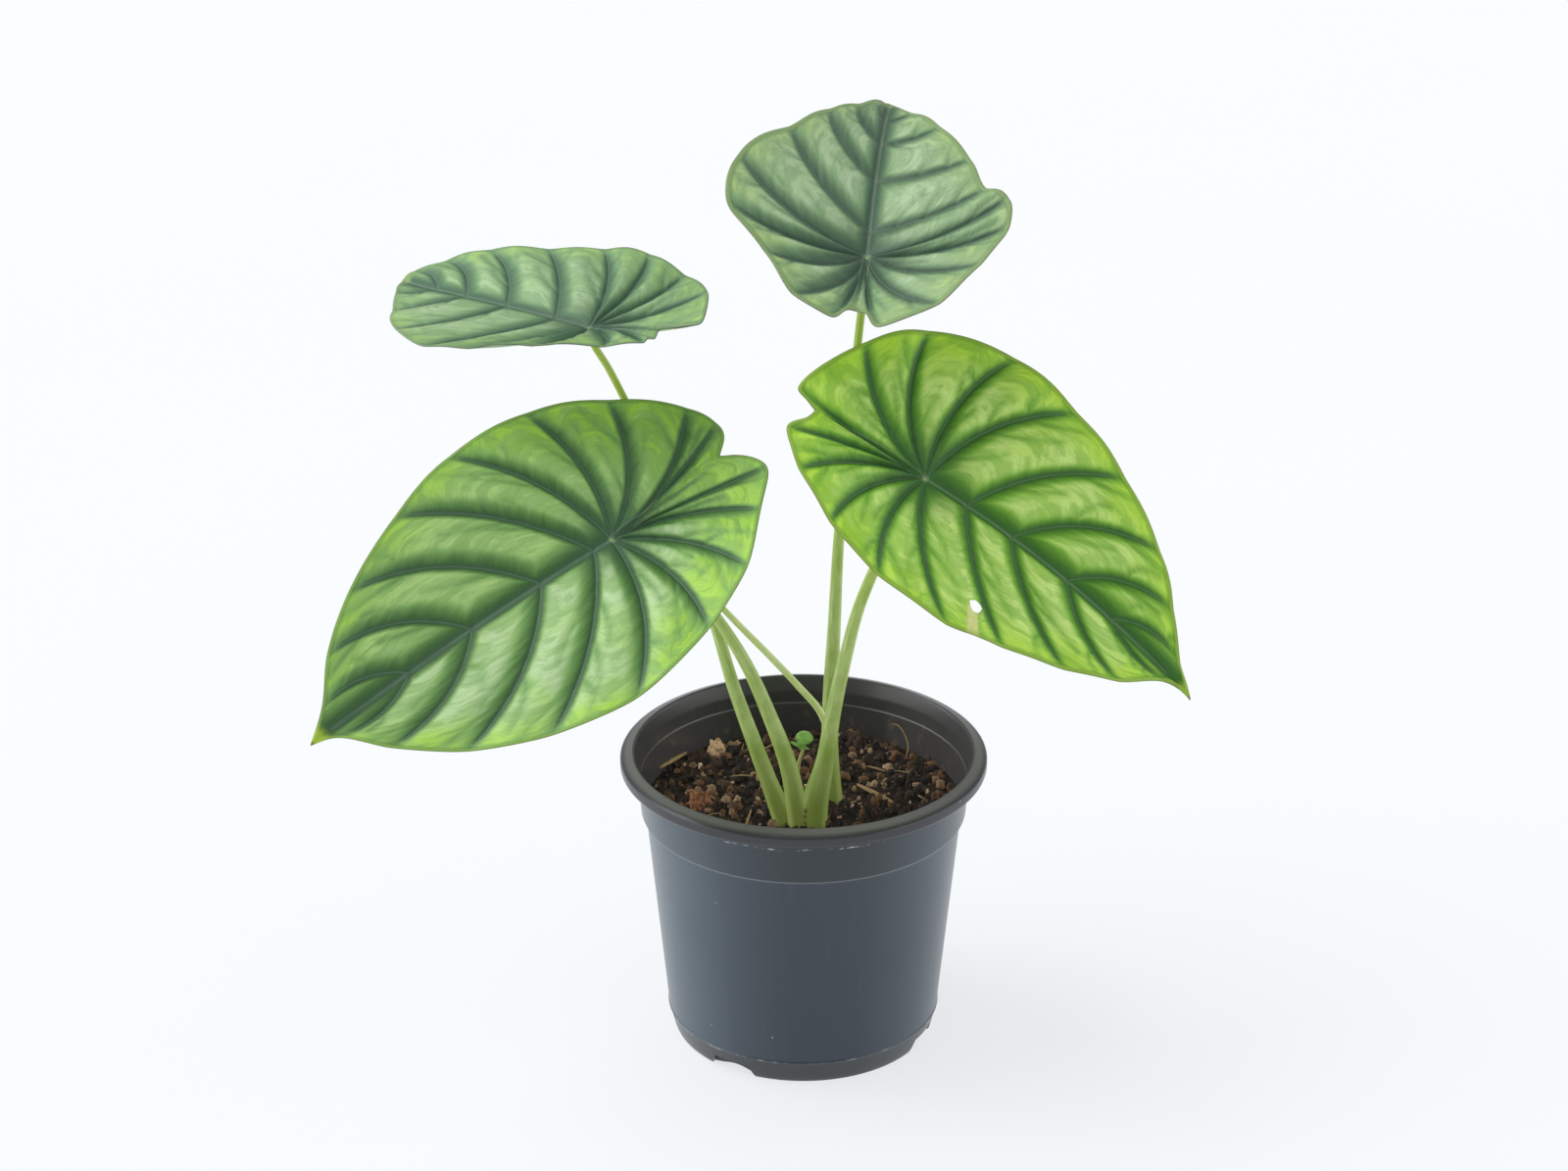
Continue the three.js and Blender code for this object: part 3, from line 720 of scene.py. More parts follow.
@dataclass(frozen=True)
class TornBladeFinish(BladeFinish):
    """A blade's look with a pale dried patch from a torn hole towards the rim."""

    patch_from: tuple[float, float] = (39.0, -41.0)
    patch_to: tuple[float, float] = (43.5, -50.0)
    straw: str = "#dcdca4"
    yellowed: str = "#b4bd58"

    def damage(self, coat: Coat, spot: BladeSpot) -> None:
        """Lays the dried patch.

        Args:
            coat: the colour in hand.
            spot: what the blade keeps.
        """
        way = np.subtract(self.patch_to, self.patch_from)
        length = float(np.hypot(*way))
        ahead, across = way / length
        x, y = spot.ahead - self.patch_from[0], spot.across - self.patch_from[1]
        along = x * ahead + y * across
        beside = x * across - y * ahead
        ragged = coat.bench.noise(spot.flat, 0.8, 3.0)
        width = ragged * 3.0 + 0.6
        inside = abs(beside).ease(width + 1.0, width)
        inside = inside * along.ease(-3.5, -1.5) * along.ease(length + 1.0, length - 4.0)
        coat.lay(coat.bench.mix(ragged, self.straw, self.yellowed), inside * 0.9)


# The lean and unequal midrib bands paint shade on the sides facing away from the light; a sheen side paints
# sheen over one half.
GREY_GREEN = BladeFinish(
    "blade_grey_green", light="#a8cb7c", sheen_and_streak="#b0cb9a", fresh="#a0d040", mid="#739f56", dark="#355c2c",
    deep="#3a5a40", core="#6f8a74", margin="#7fa64c", outline="#5a6b42", under="#8fae7c", tip="#a4c238",
    vein_bands=(2.4, 1.7), midrib_bands=(3.2, 8.0), lean=0.5, fresh_share=0.9, fresh_rear=16.0,
    sheen_side=1.0,
)
BRIGHT_GREEN = TornBladeFinish(
    "blade_bright_green", light="#bada66", sheen_and_streak="#cae494", fresh="#b0da3a", mid="#72a834", dark="#2f6416",
    deep="#345d2c", core="#688a60", margin="#86aa3c", outline="#67793a", under="#9dbb72", tip="#8fb138",
    vein_bands=(2.3, 1.5), midrib_bands=(8.0, 3.2), lean=0.15, margin_width=1.5, fresh_share=0.95,
)
SAGE = BladeFinish(
    "blade_sage", light="#9aba84", sheen_and_streak="#a8c09c", fresh="#97bb5e", mid="#6f9465", dark="#45664e",
    deep="#3f5c46", core="#778f7a", margin="#789765", outline="#5f665a", under="#92ab84", tip="#82a060",
    vein_bands=(2.6, 1.8), midrib_bands=(4.5, 4.5), margin_width=1.0,
)
DUSKY = BladeFinish(
    "blade_dusky", light="#a4bf90", sheen_and_streak="#b3c8a8", fresh="#a4c070", mid="#76976c", dark="#44614b",
    deep="#3d5643", core="#7d8f7e", margin="#7f9a64", outline="#68695f", under="#8fa781", tip="#819466",
    vein_bands=(2.9, 2.0), midrib_bands=(5.0, 5.0), margin_width=2.0,
)


@dataclass
class Blade:
    """A shield-shaped leaf blade on its joint with the stalk.

    Bends, twist and sway are in degrees for each 100 mm of midrib. The rims are the inner corner of the rear
    lobe and then the ends of nine veins, each as its angle from the midrib and its reach from the joint.
    """

    name: str
    finish: BladeFinish
    slot: str
    joint: tuple[float, float, float]
    heading: float
    pitch: float
    roll: float
    bend_ahead: float
    bend_behind: float
    lift: tuple[float, float]
    arch: tuple[float, float]
    twist: float
    sway: float
    wave_phase: float
    midrib: tuple[float, ...]
    sinus: tuple[float, float]
    left: tuple[tuple[float, float], ...]
    right: tuple[tuple[float, float], ...]
    seed: int
    tear: tuple[tuple[float, float], ...] = ()
    crown: float = 2.9
    wave: float = 0.9
    per_vein: int = 20
    rows: int = 66
    thickness: float = 0.65
    rim_thickness: float = 0.35
    groove: float = 0.6
    quilt: float = 0.15
    quilt_pitch: float = 4.6
    slope: float = 0.9
    midrib_groove: float = 0.55
    seam_ridge: float = 0.35
    branch_groove: float = 0.4
    rim_bead: float = 0.22
    vein_rib: float = 0.6
    midrib_rib: float = 0.9
    wave_rate: float = 0.37
    vein_crowding: float = 0.55
    rim_crowding: float = 0.25
    turn: np.ndarray = field(init=False)

    LAST = 10
    RADIAL = 5
    ARC = (0, 0.03, 0.1, 0.12, 0.11, 0.1, 0.08, 0.1, 0.12, 0.12, 0)
    BULGE = (0.45, 0.8, 1, 1, 1, 1, 0.9, 0.75, 0.5, 0.2)
    BRANCH_STARTS = ((0.18, 0.3), (0.42, 0.54), (0.64, 0.76))

    def __post_init__(self) -> None:
        """Works out how the blade is turned."""
        h, p, r = np.radians((self.heading, self.pitch, self.roll))
        self.turn = turned(Axis.Z, h) @ turned(Axis.Y, -p) @ turned(Axis.X, r)

    def rim(self, half: Half, veins: np.ndarray) -> np.ndarray:
        """Reads the rim of one half in the flat blade.

        Args:
            half: which half.
            veins: where to read it, counted in veins from the sinus.

        Returns:
            Ahead and across, one point a row.
        """
        ends = np.array(self.left if half is Half.LEFT else self.right)
        angles = np.radians(ends[:, 0])
        points = np.c_[ends[:, 1] * np.cos(angles), half.value * ends[:, 1] * np.sin(angles)]
        points = np.vstack([self.sinus, points, (self.midrib[-1], 0)])
        return catmull_rom(points, np.where(veins < 1, 2 * veins, veins + 1))

    def flat(self, half: Half, veins: np.ndarray, reach: np.ndarray) -> np.ndarray:
        """Reads points of one half in the flat blade.

        Args:
            half: which half.
            veins: the vein that each point lies on, counted from the sinus.
            reach: how far out it lies, from 0 at the root to 1 at the rim.

        Returns:
            Ahead and across for each point, on the last axis.
        """
        shape = np.broadcast(veins, reach).shape
        veins, reach = (np.broadcast_to(a, shape).ravel() for a in (veins, reach))
        roots = np.interp(veins - self.RADIAL, np.arange(len(self.midrib) + 1), (0, *self.midrib))
        root = np.where(veins <= self.RADIAL, 0, roots)
        end = self.rim(half, veins)
        chord = end - np.c_[root, np.zeros(len(root))]
        arc = np.interp(veins, range(self.LAST + 1), self.ARC) * 4 * reach * (1 - reach)
        ahead = root + chord[:, 0] * reach - half.value * chord[:, 1] * arc
        across = chord[:, 1] * reach + half.value * chord[:, 0] * arc
        return np.stack([ahead, across], -1).reshape(*shape, 2)

    def rise(self, veins: np.ndarray, reach: np.ndarray) -> np.ndarray:
        """Reads the height of the pillows between the veins and of the waved rim.

        Args:
            veins: the vein that each point lies on, counted from the sinus.
            reach: how far out it lies, from 0 at the root to 1 at the rim.

        Returns:
            The height of each point above the flat blade.
        """
        bulge = np.array(self.BULGE)[np.minimum(veins.astype(int), self.LAST - 1)]
        arch = np.abs(np.sin(np.pi * veins))
        between = 0.35 * arch**2 + 0.65 * arch**1.1
        along = (1 - (1 - reach) ** 3) * (1 - 0.6 * reach**3)
        ends = np.minimum(1, np.minimum(veins, self.LAST - veins))
        wave = np.sin(2 * np.pi * (self.wave_rate * veins + self.wave_phase)) * reach**3 * ends
        return self.crown * bulge * between * along + self.wave * wave

    def place(self, flat: np.ndarray, rise: np.ndarray) -> np.ndarray:
        """Places points of the flat blade on the bent and turned blade.

        Args:
            flat: ahead and across, one point a row.
            rise: the height of each above the blade.

        Returns:
            The points in the frame, in millimetres.
        """
        ahead, across = flat[:, 0], flat[:, 1]
        on = ahead > 0
        sway = math.radians(self.sway) / 100
        along = np.where(on, np.sin(sway * ahead) / sway - across * np.sin(sway * ahead), ahead)
        aside = np.where(on, (1 - np.cos(sway * ahead)) / sway + across * np.cos(sway * ahead), across)
        half = np.where(across >= 0, 0, 1)
        lift, arch = np.array(self.lift)[half], np.array(self.arch)[half]
        height = lift * np.abs(across) - arch * (across / 50) ** 2 + rise
        twist = math.radians(self.twist) * along / 100
        y = aside * np.cos(twist) - height * np.sin(twist)
        h = aside * np.sin(twist) + height * np.cos(twist)
        bend = np.radians(np.where(along >= 0, self.bend_ahead, self.bend_behind)) / 100
        bent = bend * along
        x = np.sin(bent) / bend + h * np.sin(bent)
        z = -(1 - np.cos(bent)) / bend + h * np.cos(bent)
        return np.c_[x, y, z] @ self.turn.T + np.array(self.joint)

    def branches(self) -> np.ndarray:
        """Draws the looping branch veins between the nine.

        Returns:
            Points of the flat blade, one a row.
        """
        random = np.random.default_rng(self.seed)
        u = np.linspace(0, 1, 60)
        lines = []
        for half in Half:
            for lane in range(1, self.LAST - 1):
                for low, high in self.BRANCH_STARTS:
                    start = random.uniform(low, high)
                    bow = random.uniform(0.3, 0.5)
                    end = min(0.97, start + random.uniform(0.22, 0.4))
                    back = random.random() < 0.5
                    away = bow * (1 - (1 - u) ** 2)
                    veins = lane + (1 - away if back else away)
                    lines.append(self.flat(half, veins, start + (end - start) * u**1.2))
        return np.vstack(lines)

    def half_grid(self, half: Half, veins: np.ndarray, reach: np.ndarray) -> dict[str, np.ndarray]:
        """Surveys one half on a grid of veins and reach.

        Args:
            half: which half.
            veins: the grid's veins.
            reach: the grid's rows from root to rim.

        Returns:
            The flat points, the rise, and the distances that the relief and the finish use.
        """
        v, r = veins[:, None], reach[None, :]
        flat = self.flat(half, v, r)
        per_vein = np.gradient(flat, veins, axis=0)
        per_reach = np.gradient(flat, reach, axis=1)
        area = np.abs(per_vein[..., 0] * per_reach[..., 1] - per_vein[..., 1] * per_reach[..., 0])
        off = np.abs(v - np.clip(np.round(v), 1, self.LAST - 1))
        steps = np.linalg.norm(np.diff(flat, axis=1), axis=-1)
        run = np.concatenate([np.zeros((len(veins), 1)), np.cumsum(steps, 1)], 1)
        width = area / np.maximum(np.linalg.norm(per_reach, axis=-1), 1e-6)
        vein = off * width
        slant = run - self.slope * width * np.sin(np.pi * off) / np.pi
        # Which side of its vein each place lies on; the finish widens the dark bands on one side with it as
        # painted shade.
        lean = half.value * np.sin(2 * np.pi * v) * np.ones_like(r)
        return {
            "flat": flat.reshape(-1, 2),
            "rise": self.rise(v, r).ravel(),
            "vein": vein.ravel(),
            "slant": slant.ravel(),
            "lean": lean.ravel(),
            "reach": np.broadcast_to(r, vein.shape).ravel(),
        }

    def topology(self, columns: int, rows: int) -> tuple[np.ndarray, Faces]:
        """Joins the two halves along the midrib, behind the joint and at the tip.

        Args:
            columns: how many columns a half's grid has.
            rows: how many rows it has.

        Returns:
            The grid point behind each vertex that is used, and the faces of the upper side.
        """
        left = np.arange(columns * rows).reshape(columns, rows)
        left[: self.RADIAL * self.per_vein + 1, 0] = 0
        left[-1, :] = left[-1, 0]
        right = (columns + np.arange(columns))[:, None] * rows + np.arange(rows)
        right[:, 0] = left[:, 0]
        right[0, :] = left[0, :]
        right[-1, :] = left[-1, 0]
        faces = []
        for grid, order in ((left, 1), (right, -1)):
            corners = np.stack([grid[:-1, :-1], grid[1:, :-1], grid[1:, 1:], grid[:-1, 1:]], -1)
            for face in corners.reshape(-1, 4).tolist():
                kept = tuple(dict.fromkeys(face))
                if len(kept) > 2:
                    faces.append(kept[::order])
        return np.unique(np.concatenate([left.ravel(), right.ravel()])), faces

    def torn(self, flat: np.ndarray, faces: Faces) -> Shape:
        """Opens the torn hole: its faces go, and the points round it move to its outline.

        Args:
            flat: the points of the flat blade, one a row; they are changed.
            faces: the faces of the upper side.

        Returns:
            The points and the faces that are left.
        """
        hole = np.array(self.tear)
        after = np.roll(hole, -1, 0)
        x, y = flat[:, :1], flat[:, 1:]
        crosses = (hole[:, 1] > y) != (after[:, 1] > y)
        slope = (after[:, 0] - hole[:, 0]) * (y - hole[:, 1]) / (after[:, 1] - hole[:, 1] + 1e-9) + hole[:, 0]
        inside = (crosses & (x < slope)).sum(1) % 2 == 1
        kept = [face for face in faces if not all(inside[i] for i in face)]
        edge = after - hole
        for i in sorted({i for face in kept for i in face if inside[i]}):
            t = np.clip(((flat[i] - hole) * edge).sum(1) / (edge**2).sum(1), 0, 1)
            near = hole + edge * t[:, None]
            flat[i] = near[np.argmin(((near - flat[i]) ** 2).sum(1))]
        return flat, kept

    def cloud(self, flat: np.ndarray, scale: float, offset: float = 0.0) -> np.ndarray:
        """Reads smooth noise over the flat blade, from about -1 to 1."""
        return np.array([noise.noise(Vector((x * scale, y * scale, self.seed + offset))) for x, y in flat])

    def build(self) -> bpy.types.Object:
        """Builds the blade and hands over its object.

        Returns:
            The piece's object.
        """
        even = np.arange(self.LAST * self.per_vein + 1) / self.per_vein
        veins = even - self.vein_crowding * np.sin(2 * np.pi * even) / (2 * np.pi)
        t = np.arange(self.rows + 1) / self.rows
        reach = t * (1 + self.rim_crowding * (1 - t))
        halves = [self.half_grid(half, veins, reach) for half in Half]
        whole = {key: np.concatenate([h[key] for h in halves]) for key in halves[0]}
        used, faces = self.topology(len(veins), len(reach))
        lookup = np.zeros(used.max() + 1, int)
        lookup[used] = np.arange(len(used))
        faces = [tuple(lookup[i] for i in face) for face in faces]
        data = {key: value[used] for key, value in whole.items()}
        if self.tear:
            data["flat"], faces = self.torn(data["flat"], faces)
        flat, vein, slant = data["flat"], data["vein"], data["slant"]
        dense = np.linspace(0, self.LAST, 900)
        edge = nearest(np.vstack([self.rim(half, dense) for half in Half]), flat)
        branch = nearest(self.branches(), flat)
        midrib = np.where(flat[:, 0] > 0, np.abs(flat[:, 1]), np.hypot(flat[:, 0], flat[:, 1]))
        seam = nearest(self.flat(Half.LEFT, np.zeros(200), np.linspace(0, 1, 200)), flat)
        phase = slant / self.quilt_pitch + 1.6 * self.cloud(flat, 0.07)
        quilt = self.quilt * np.clip(1 + 1.6 * self.cloud(flat, 0.09, 5.5), 0.2, 1.8)
        inner = smooth((edge - 1.5) / 5)
        relief = -swell(vein, self.groove, 0.8) * smooth(edge / 6)
        relief -= swell(midrib, self.midrib_groove, 1.2) * smooth(edge / 8)
        relief += swell(seam, self.seam_ridge, 1.6) * smooth(edge / 12)
        relief -= swell(branch, self.branch_groove, 1.0) * inner
        relief += quilt * (np.abs(np.sin(np.pi * (phase + 0.5))) - 0.5) * inner * smooth((vein - 0.8) / 3)
        relief += swell(edge - 1.0, self.rim_bead, 0.8)
        thick = self.rim_thickness + (self.thickness - self.rim_thickness) * smooth(edge / 5)
        thick += (1 - data["reach"]) * swell(vein, self.vein_rib, 0.9)
        thick += swell(midrib, self.midrib_rib, 1.5) * smooth(edge / 20)
        top = self.place(flat, data["rise"] + np.maximum(relief, 0.2 - thick))
        bottom = self.place(flat, data["rise"] - thick)
        to_tip = np.hypot(flat[:, 0] - self.midrib[-1], flat[:, 1])
        return self.dress(np.vstack([top, bottom]), faces, {
            "lane": np.c_[vein, slant, data["lean"]],
            "sheet": np.c_[flat, edge],
            "rib": np.c_[midrib, branch, seam],
            "span": np.c_[data["reach"], phase, to_tip],
        })

    def dress(self, points: np.ndarray, faces: Faces, notes: dict[str, np.ndarray]) -> bpy.types.Object:
        """Closes the blade all round and gives it its finish.

        Args:
            points: the upper points and then the lower ones.
            faces: the faces of the upper side.
            notes: what each upper point keeps for the finish, by name.

        Returns:
            The object.
        """
        count = len(points) // 2
        sides = {(a, b) for face in faces for a, b in zip(face, (*face[1:], face[0]))}
        rim = [(b, a, a + count, b + count) for a, b in sorted(sides) if (b, a) not in sides]
        under = [tuple(i + count for i in face[::-1]) for face in faces]
        materials = (self.finish.top(), self.finish.lower())
        shape = points, faces + under + rim
        piece = make_piece(self.name + "_leaf", shape, materials, 2 * len(faces))
        index = np.zeros(len(piece.data.polygons), int)
        index[len(faces) : 2 * len(faces)] = 1
        piece.data.polygons.foreach_set("material_index", index)
        for name, values in notes.items():
            note(piece, name, np.vstack([values, values]))
        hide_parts(self.name)
        return piece


@dataclass(frozen=True)
class StalkFinish:
    """Smooth green stalk skin with fine lengthwise fibres and small dark flecks.

    The stain is a soft-edged box at the foot: its middle, and the outer and inner half widths about it.
    """

    name: str = "stalk_skin"
    foot: str = "#91a34c"
    body: str = "#869f48"
    pale: str = "#a2b66c"
    upper: str = "#93ad38"
    fleck: str = "#66762e"
    stain: str = "#5b4420"
    stain_at: tuple[float, float, float] = (0.6, -24.0, 100.5)
    stain_outer: tuple[float, float, float] = (1.3, 6.0, 5.0)
    stain_inner: tuple[float, float, float] = (0.3, 4.0, 2.0)
    rough: float = 0.36

    def material(self) -> bpy.types.Material:
        """Makes the material; a stalk keeps its way up, its angle and its height above the soil.

        Returns:
            The material.
        """
        bench = Bench(self.name)
        along, angle, height = bench.noted("stem")
        fibre = bench.noise(bench.vector(angle * 9.0, along * 0.025, 0.0), 1.0, 3.0)
        blotch = bench.noise(bench.vector(angle * 2.0, along * 0.09, 3.0), 1.0, 3.0)
        flecks = bench.cells(bench.vector(angle * 9.0, along * 0.16, 0.0), 1.0)
        coat = Coat(bench, self.body)
        coat.lay(self.pale, blotch.ease(0.35, 0.7))
        coat.lay(self.foot, height.ease(40.0, 2.0, 0.0, 0.8))
        coat.lay(self.upper, height.ease(70.0, 150.0, 0.0, 0.8))
        coat.lay(self.foot, fibre.ease(0.45, 0.75, 0.0, 0.2))
        coat.lay(self.fleck, flecks.ease(0.12, 0.05, 0.0, 0.5))
        rot = bench.noise(bench.place(), 700.0).ease(0.35, 0.6)
        box = zip(bench.parts(bench.place()), self.stain_at, self.stain_outer, self.stain_inner)
        for part, middle, outer, inner in box:
            rot = rot * part.band(middle * MM, outer * MM, inner * MM)
        coat.lay(self.stain, rot)
        coat.lay(self.stain, height.ease(3.5, 0.2, 0.0, 0.55))
        return bench.close(
            coat.colour, self.rough, fibre, 0.04,
            Specular_IOR_Level=0.45, Subsurface_Weight=0.15, Subsurface_Scale=0.002,
        )


@dataclass
class Stalk:
    """A leaf stalk, with the open sheath at its foot."""

    name: str
    finish: StalkFinish
    route: tuple[tuple[float, float, float], ...]
    foot: float
    top: float
    sheath_height: float
    sheath_flare: float
    sheath_towards: float
    blade: Blade | None = None
    neck: float = 5.0
    seat: float = 1.9
    sides: int = 36
    rings: int = 170
    soil_level: float = 94.3
    steps: int = 1500
    ripple: float = 0.03
    joint_swell: float = 0.6
    joint_sink: float = 1.3

    def centre(self) -> tuple[np.ndarray, np.ndarray, float]:
        """Reads the centre line at even steps.

        Returns:
            Its points, its directions and its length.
        """
        points = [np.array(p, float) for p in self.route]
        if self.blade:
            down = self.blade.turn @ np.array([0, 0, -1.0])
            joint = np.array(self.blade.joint)
            points += [joint + down * (self.seat + self.neck), joint + down * self.seat]
        dense = catmull_rom(np.array(points), np.linspace(0, len(points) - 1, self.steps))
        length = np.concatenate([[0], np.cumsum(np.linalg.norm(np.diff(dense, axis=0), axis=1))])
        at = np.linspace(0, length[-1], self.rings + 1)
        line = np.stack([np.interp(at, length, dense[:, i]) for i in range(3)], -1)
        return line, unit(np.gradient(line, axis=0)), float(length[-1])

    def build(self) -> bpy.types.Object:
        """Builds the stalk and gives it its finish.

        Returns:
            The piece's object.
        """
        line, tangent, length = self.centre()
        t = np.linspace(0, 1, self.rings + 1)[:, None]
        angle = ring_angles(self.sides)[None, :]
        aside = unit(np.array([1.0, 0, 0]) - tangent * tangent[:, :1])
        behind = np.cross(aside, tangent)
        opened = smooth(1 - t * length / self.sheath_height)
        facing = np.maximum(0, np.cos(angle + math.radians(self.sheath_towards)))
        girth = self.top + (self.foot - self.top) * (1 - t) ** 2
        radius = girth + self.sheath_flare * opened * facing**2
        radius = radius + self.ripple * (np.sin(7 * angle + 3 * t) + np.sin(11 * angle - 2 * t))
        if self.blade:
            radius = radius + self.joint_swell * smooth((t - 1) * length / 5 + 1)
            down = self.blade.turn @ np.array([0, 0, -self.joint_sink])
            line = line - np.outer(smooth((t[:, 0] - 1) * length / 3 + 1), down)
        points = line[:, None, :] + radius[..., None] * (
            aside[:, None, :] * np.cos(angle)[..., None] + behind[:, None, :] * np.sin(angle)[..., None]
        )
        body = points.reshape(-1, 3)
        rings, sides = self.rings + 1, self.sides
        faces = [face[::-1] for face in grid_faces(rings, sides)]
        faces.append(tuple(range(sides)))
        faces.append(tuple(range((rings - 1) * sides, rings * sides))[::-1])
        piece = make_piece(self.name + "_skin", (body, faces), [self.finish.material()])
        note(piece, "stem", np.c_[
            np.repeat(t[:, 0] * length, sides),
            np.tile(np.cos(angle[0]) * 0.5 + np.sin(angle[0]) * 0.8, rings),
            body[:, 2] - self.soil_level,
        ])
        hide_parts(self.name)
        return piece


@dataclass(frozen=True)
class PotFinish:
    """Slate grey moulded plastic with soil smears inside and white scuffs at its edges, with painted sheen
    towards the left and the right, and a painted highlight on the lip's top and along the collar's lower
    edge.

    Heights are in millimetres. The radius in the middle of the wall is given by its slope and its start,
    below the collar and within it, and it steps out at the lip.
    """

    name: str = "pot_plastic"
    wall: str = "#2a3540"
    bloom_and_side_sheen: str = "#45535d"
    collar: str = "#242c32"
    lip: str = "#2d2f34"
    lip_top_highlight: str = "#646362"
    inside: str = "#383738"
    foot: str = "#34383a"
    scuff_and_highlight: str = "#c9cdcf"
    dust: str = "#6d5c48"
    inner_line: str = "#83857f"
    rough: float = 0.3
    low_wall: tuple[float, float] = (0.0986, 50.6)
    collar_wall: tuple[float, float] = (0.075, 54.55)
    lip_step: float = 2.0
    collar_at: float = 92.6
    collar_middle: float = 101.5
    throat_at: float = 106.5
    under_lip_at: float = 107.9
    lip_at: float = 110.9
    heel_at: float = 9.6

    def inner_wall(self, radius: Signal, height: Signal) -> Signal:
        """Marks the inner face, which lies within the middle of the wall at every height.

        Args:
            radius: how far each place lies from the pot's axis, in millimetres.
            height: its height, in millimetres.

        Returns:
            1 on the inner face and 0 on the outer one.
        """
        low = height * self.low_wall[0] + self.low_wall[1]
        high = height * self.collar_wall[0] + self.collar_wall[1]
        middle = (high - low) * height.ease(self.collar_at - 0.4, self.collar_at + 0.4) + low
        middle = middle + height.ease(self.lip_at, self.lip_at + 0.4, 0.0, self.lip_step)
        return (radius - middle).ease(0.2, -0.2)

    def material(self) -> bpy.types.Material:
        """Makes the material.

        Returns:
            The material.
        """
        bench = Bench(self.name)
        place = bench.place()
        x, y, z = bench.parts(place)
        height = z * 1000.0
        angle = bench.math("ARCTAN2", y, x)
        inner = self.inner_wall(bench.far(x, y) * 1000.0, height)
        streak = bench.noise(bench.vector(angle * 60.0, height * 0.12, 0.0), 0.3, 4.0, 0.6)
        smear = bench.noise(bench.vector(angle * 30.0, height * 0.3, 5.0), 0.5, 5.0, 0.65)
        broken = bench.noise(bench.vector(angle * 9.0, height * 0.7, 9.0), 1.1, 4.0, 0.7)
        wander = bench.noise(bench.vector(angle * 5.0, 0.0, 2.0), 1.0) * 1.6 + height
        coat = Coat(bench, self.wall)
        coat.lay(self.bloom_and_side_sheen, streak.ease(0.5, 0.8, 0.0, 0.12))
        coat.lay(self.collar, height.band(self.collar_middle, 9.2, 8.4))
        # Painted sheen: lighter towards the left and the right of the pot, in soft patches; the streaks above
        # are real tone.
        painted_side_light = bench.highest(x.ease(0.0, -0.056, 0.0, 0.8), x.ease(0.015, 0.06, 0.0, 0.6))
        coat.lay(self.bloom_and_side_sheen, painted_side_light * bench.noise(place, 32.0, 3.0).ease(0.2, 0.6, 0.75, 1.0))
        coat.lay(self.lip, height.ease(110.4, 111.2))
        # Painted highlight: lighter along the top of the lip.
        coat.lay(self.lip_top_highlight, height.ease(115.6, 116.6))
        coat.lay(self.foot, height.ease(10.0, 9.0, 0.0, 0.85))
        dirty = Coat(bench, self.inside)
        dirty.lay(self.dust, smear.ease(0.54, 0.74) * height.ease(114.0, 96.0, 0.05, 0.7))
        dirty.lay(self.inner_line, height.band(self.throat_at, 0.4, 0.1) * 0.2)
        coat.lay(dirty.colour, inner)
        # White scuffs under the lip and round the heel, white specks, and a painted highlight along the
        # collar's lower edge.
        white_marks_and_highlight = bench.highest(
            wander.band(self.under_lip_at, 0.3, 0.08) * broken.ease(0.55, 0.66),
            height.band(self.heel_at, 0.32, 0.1) * broken.ease(0.5, 0.62, 0.0, 0.6),
            height.band(self.collar_at, 0.5, 0.1) * 0.22,
            bench.cells(place, 75.0).ease(0.035, 0.015, 0.0, 0.45),
        )
        coat.lay(self.scuff_and_highlight, white_marks_and_highlight * bench.math("SUBTRACT", 1.0, inner))
        return bench.close(coat.colour, self.rough, Specular_IOR_Level=0.5)


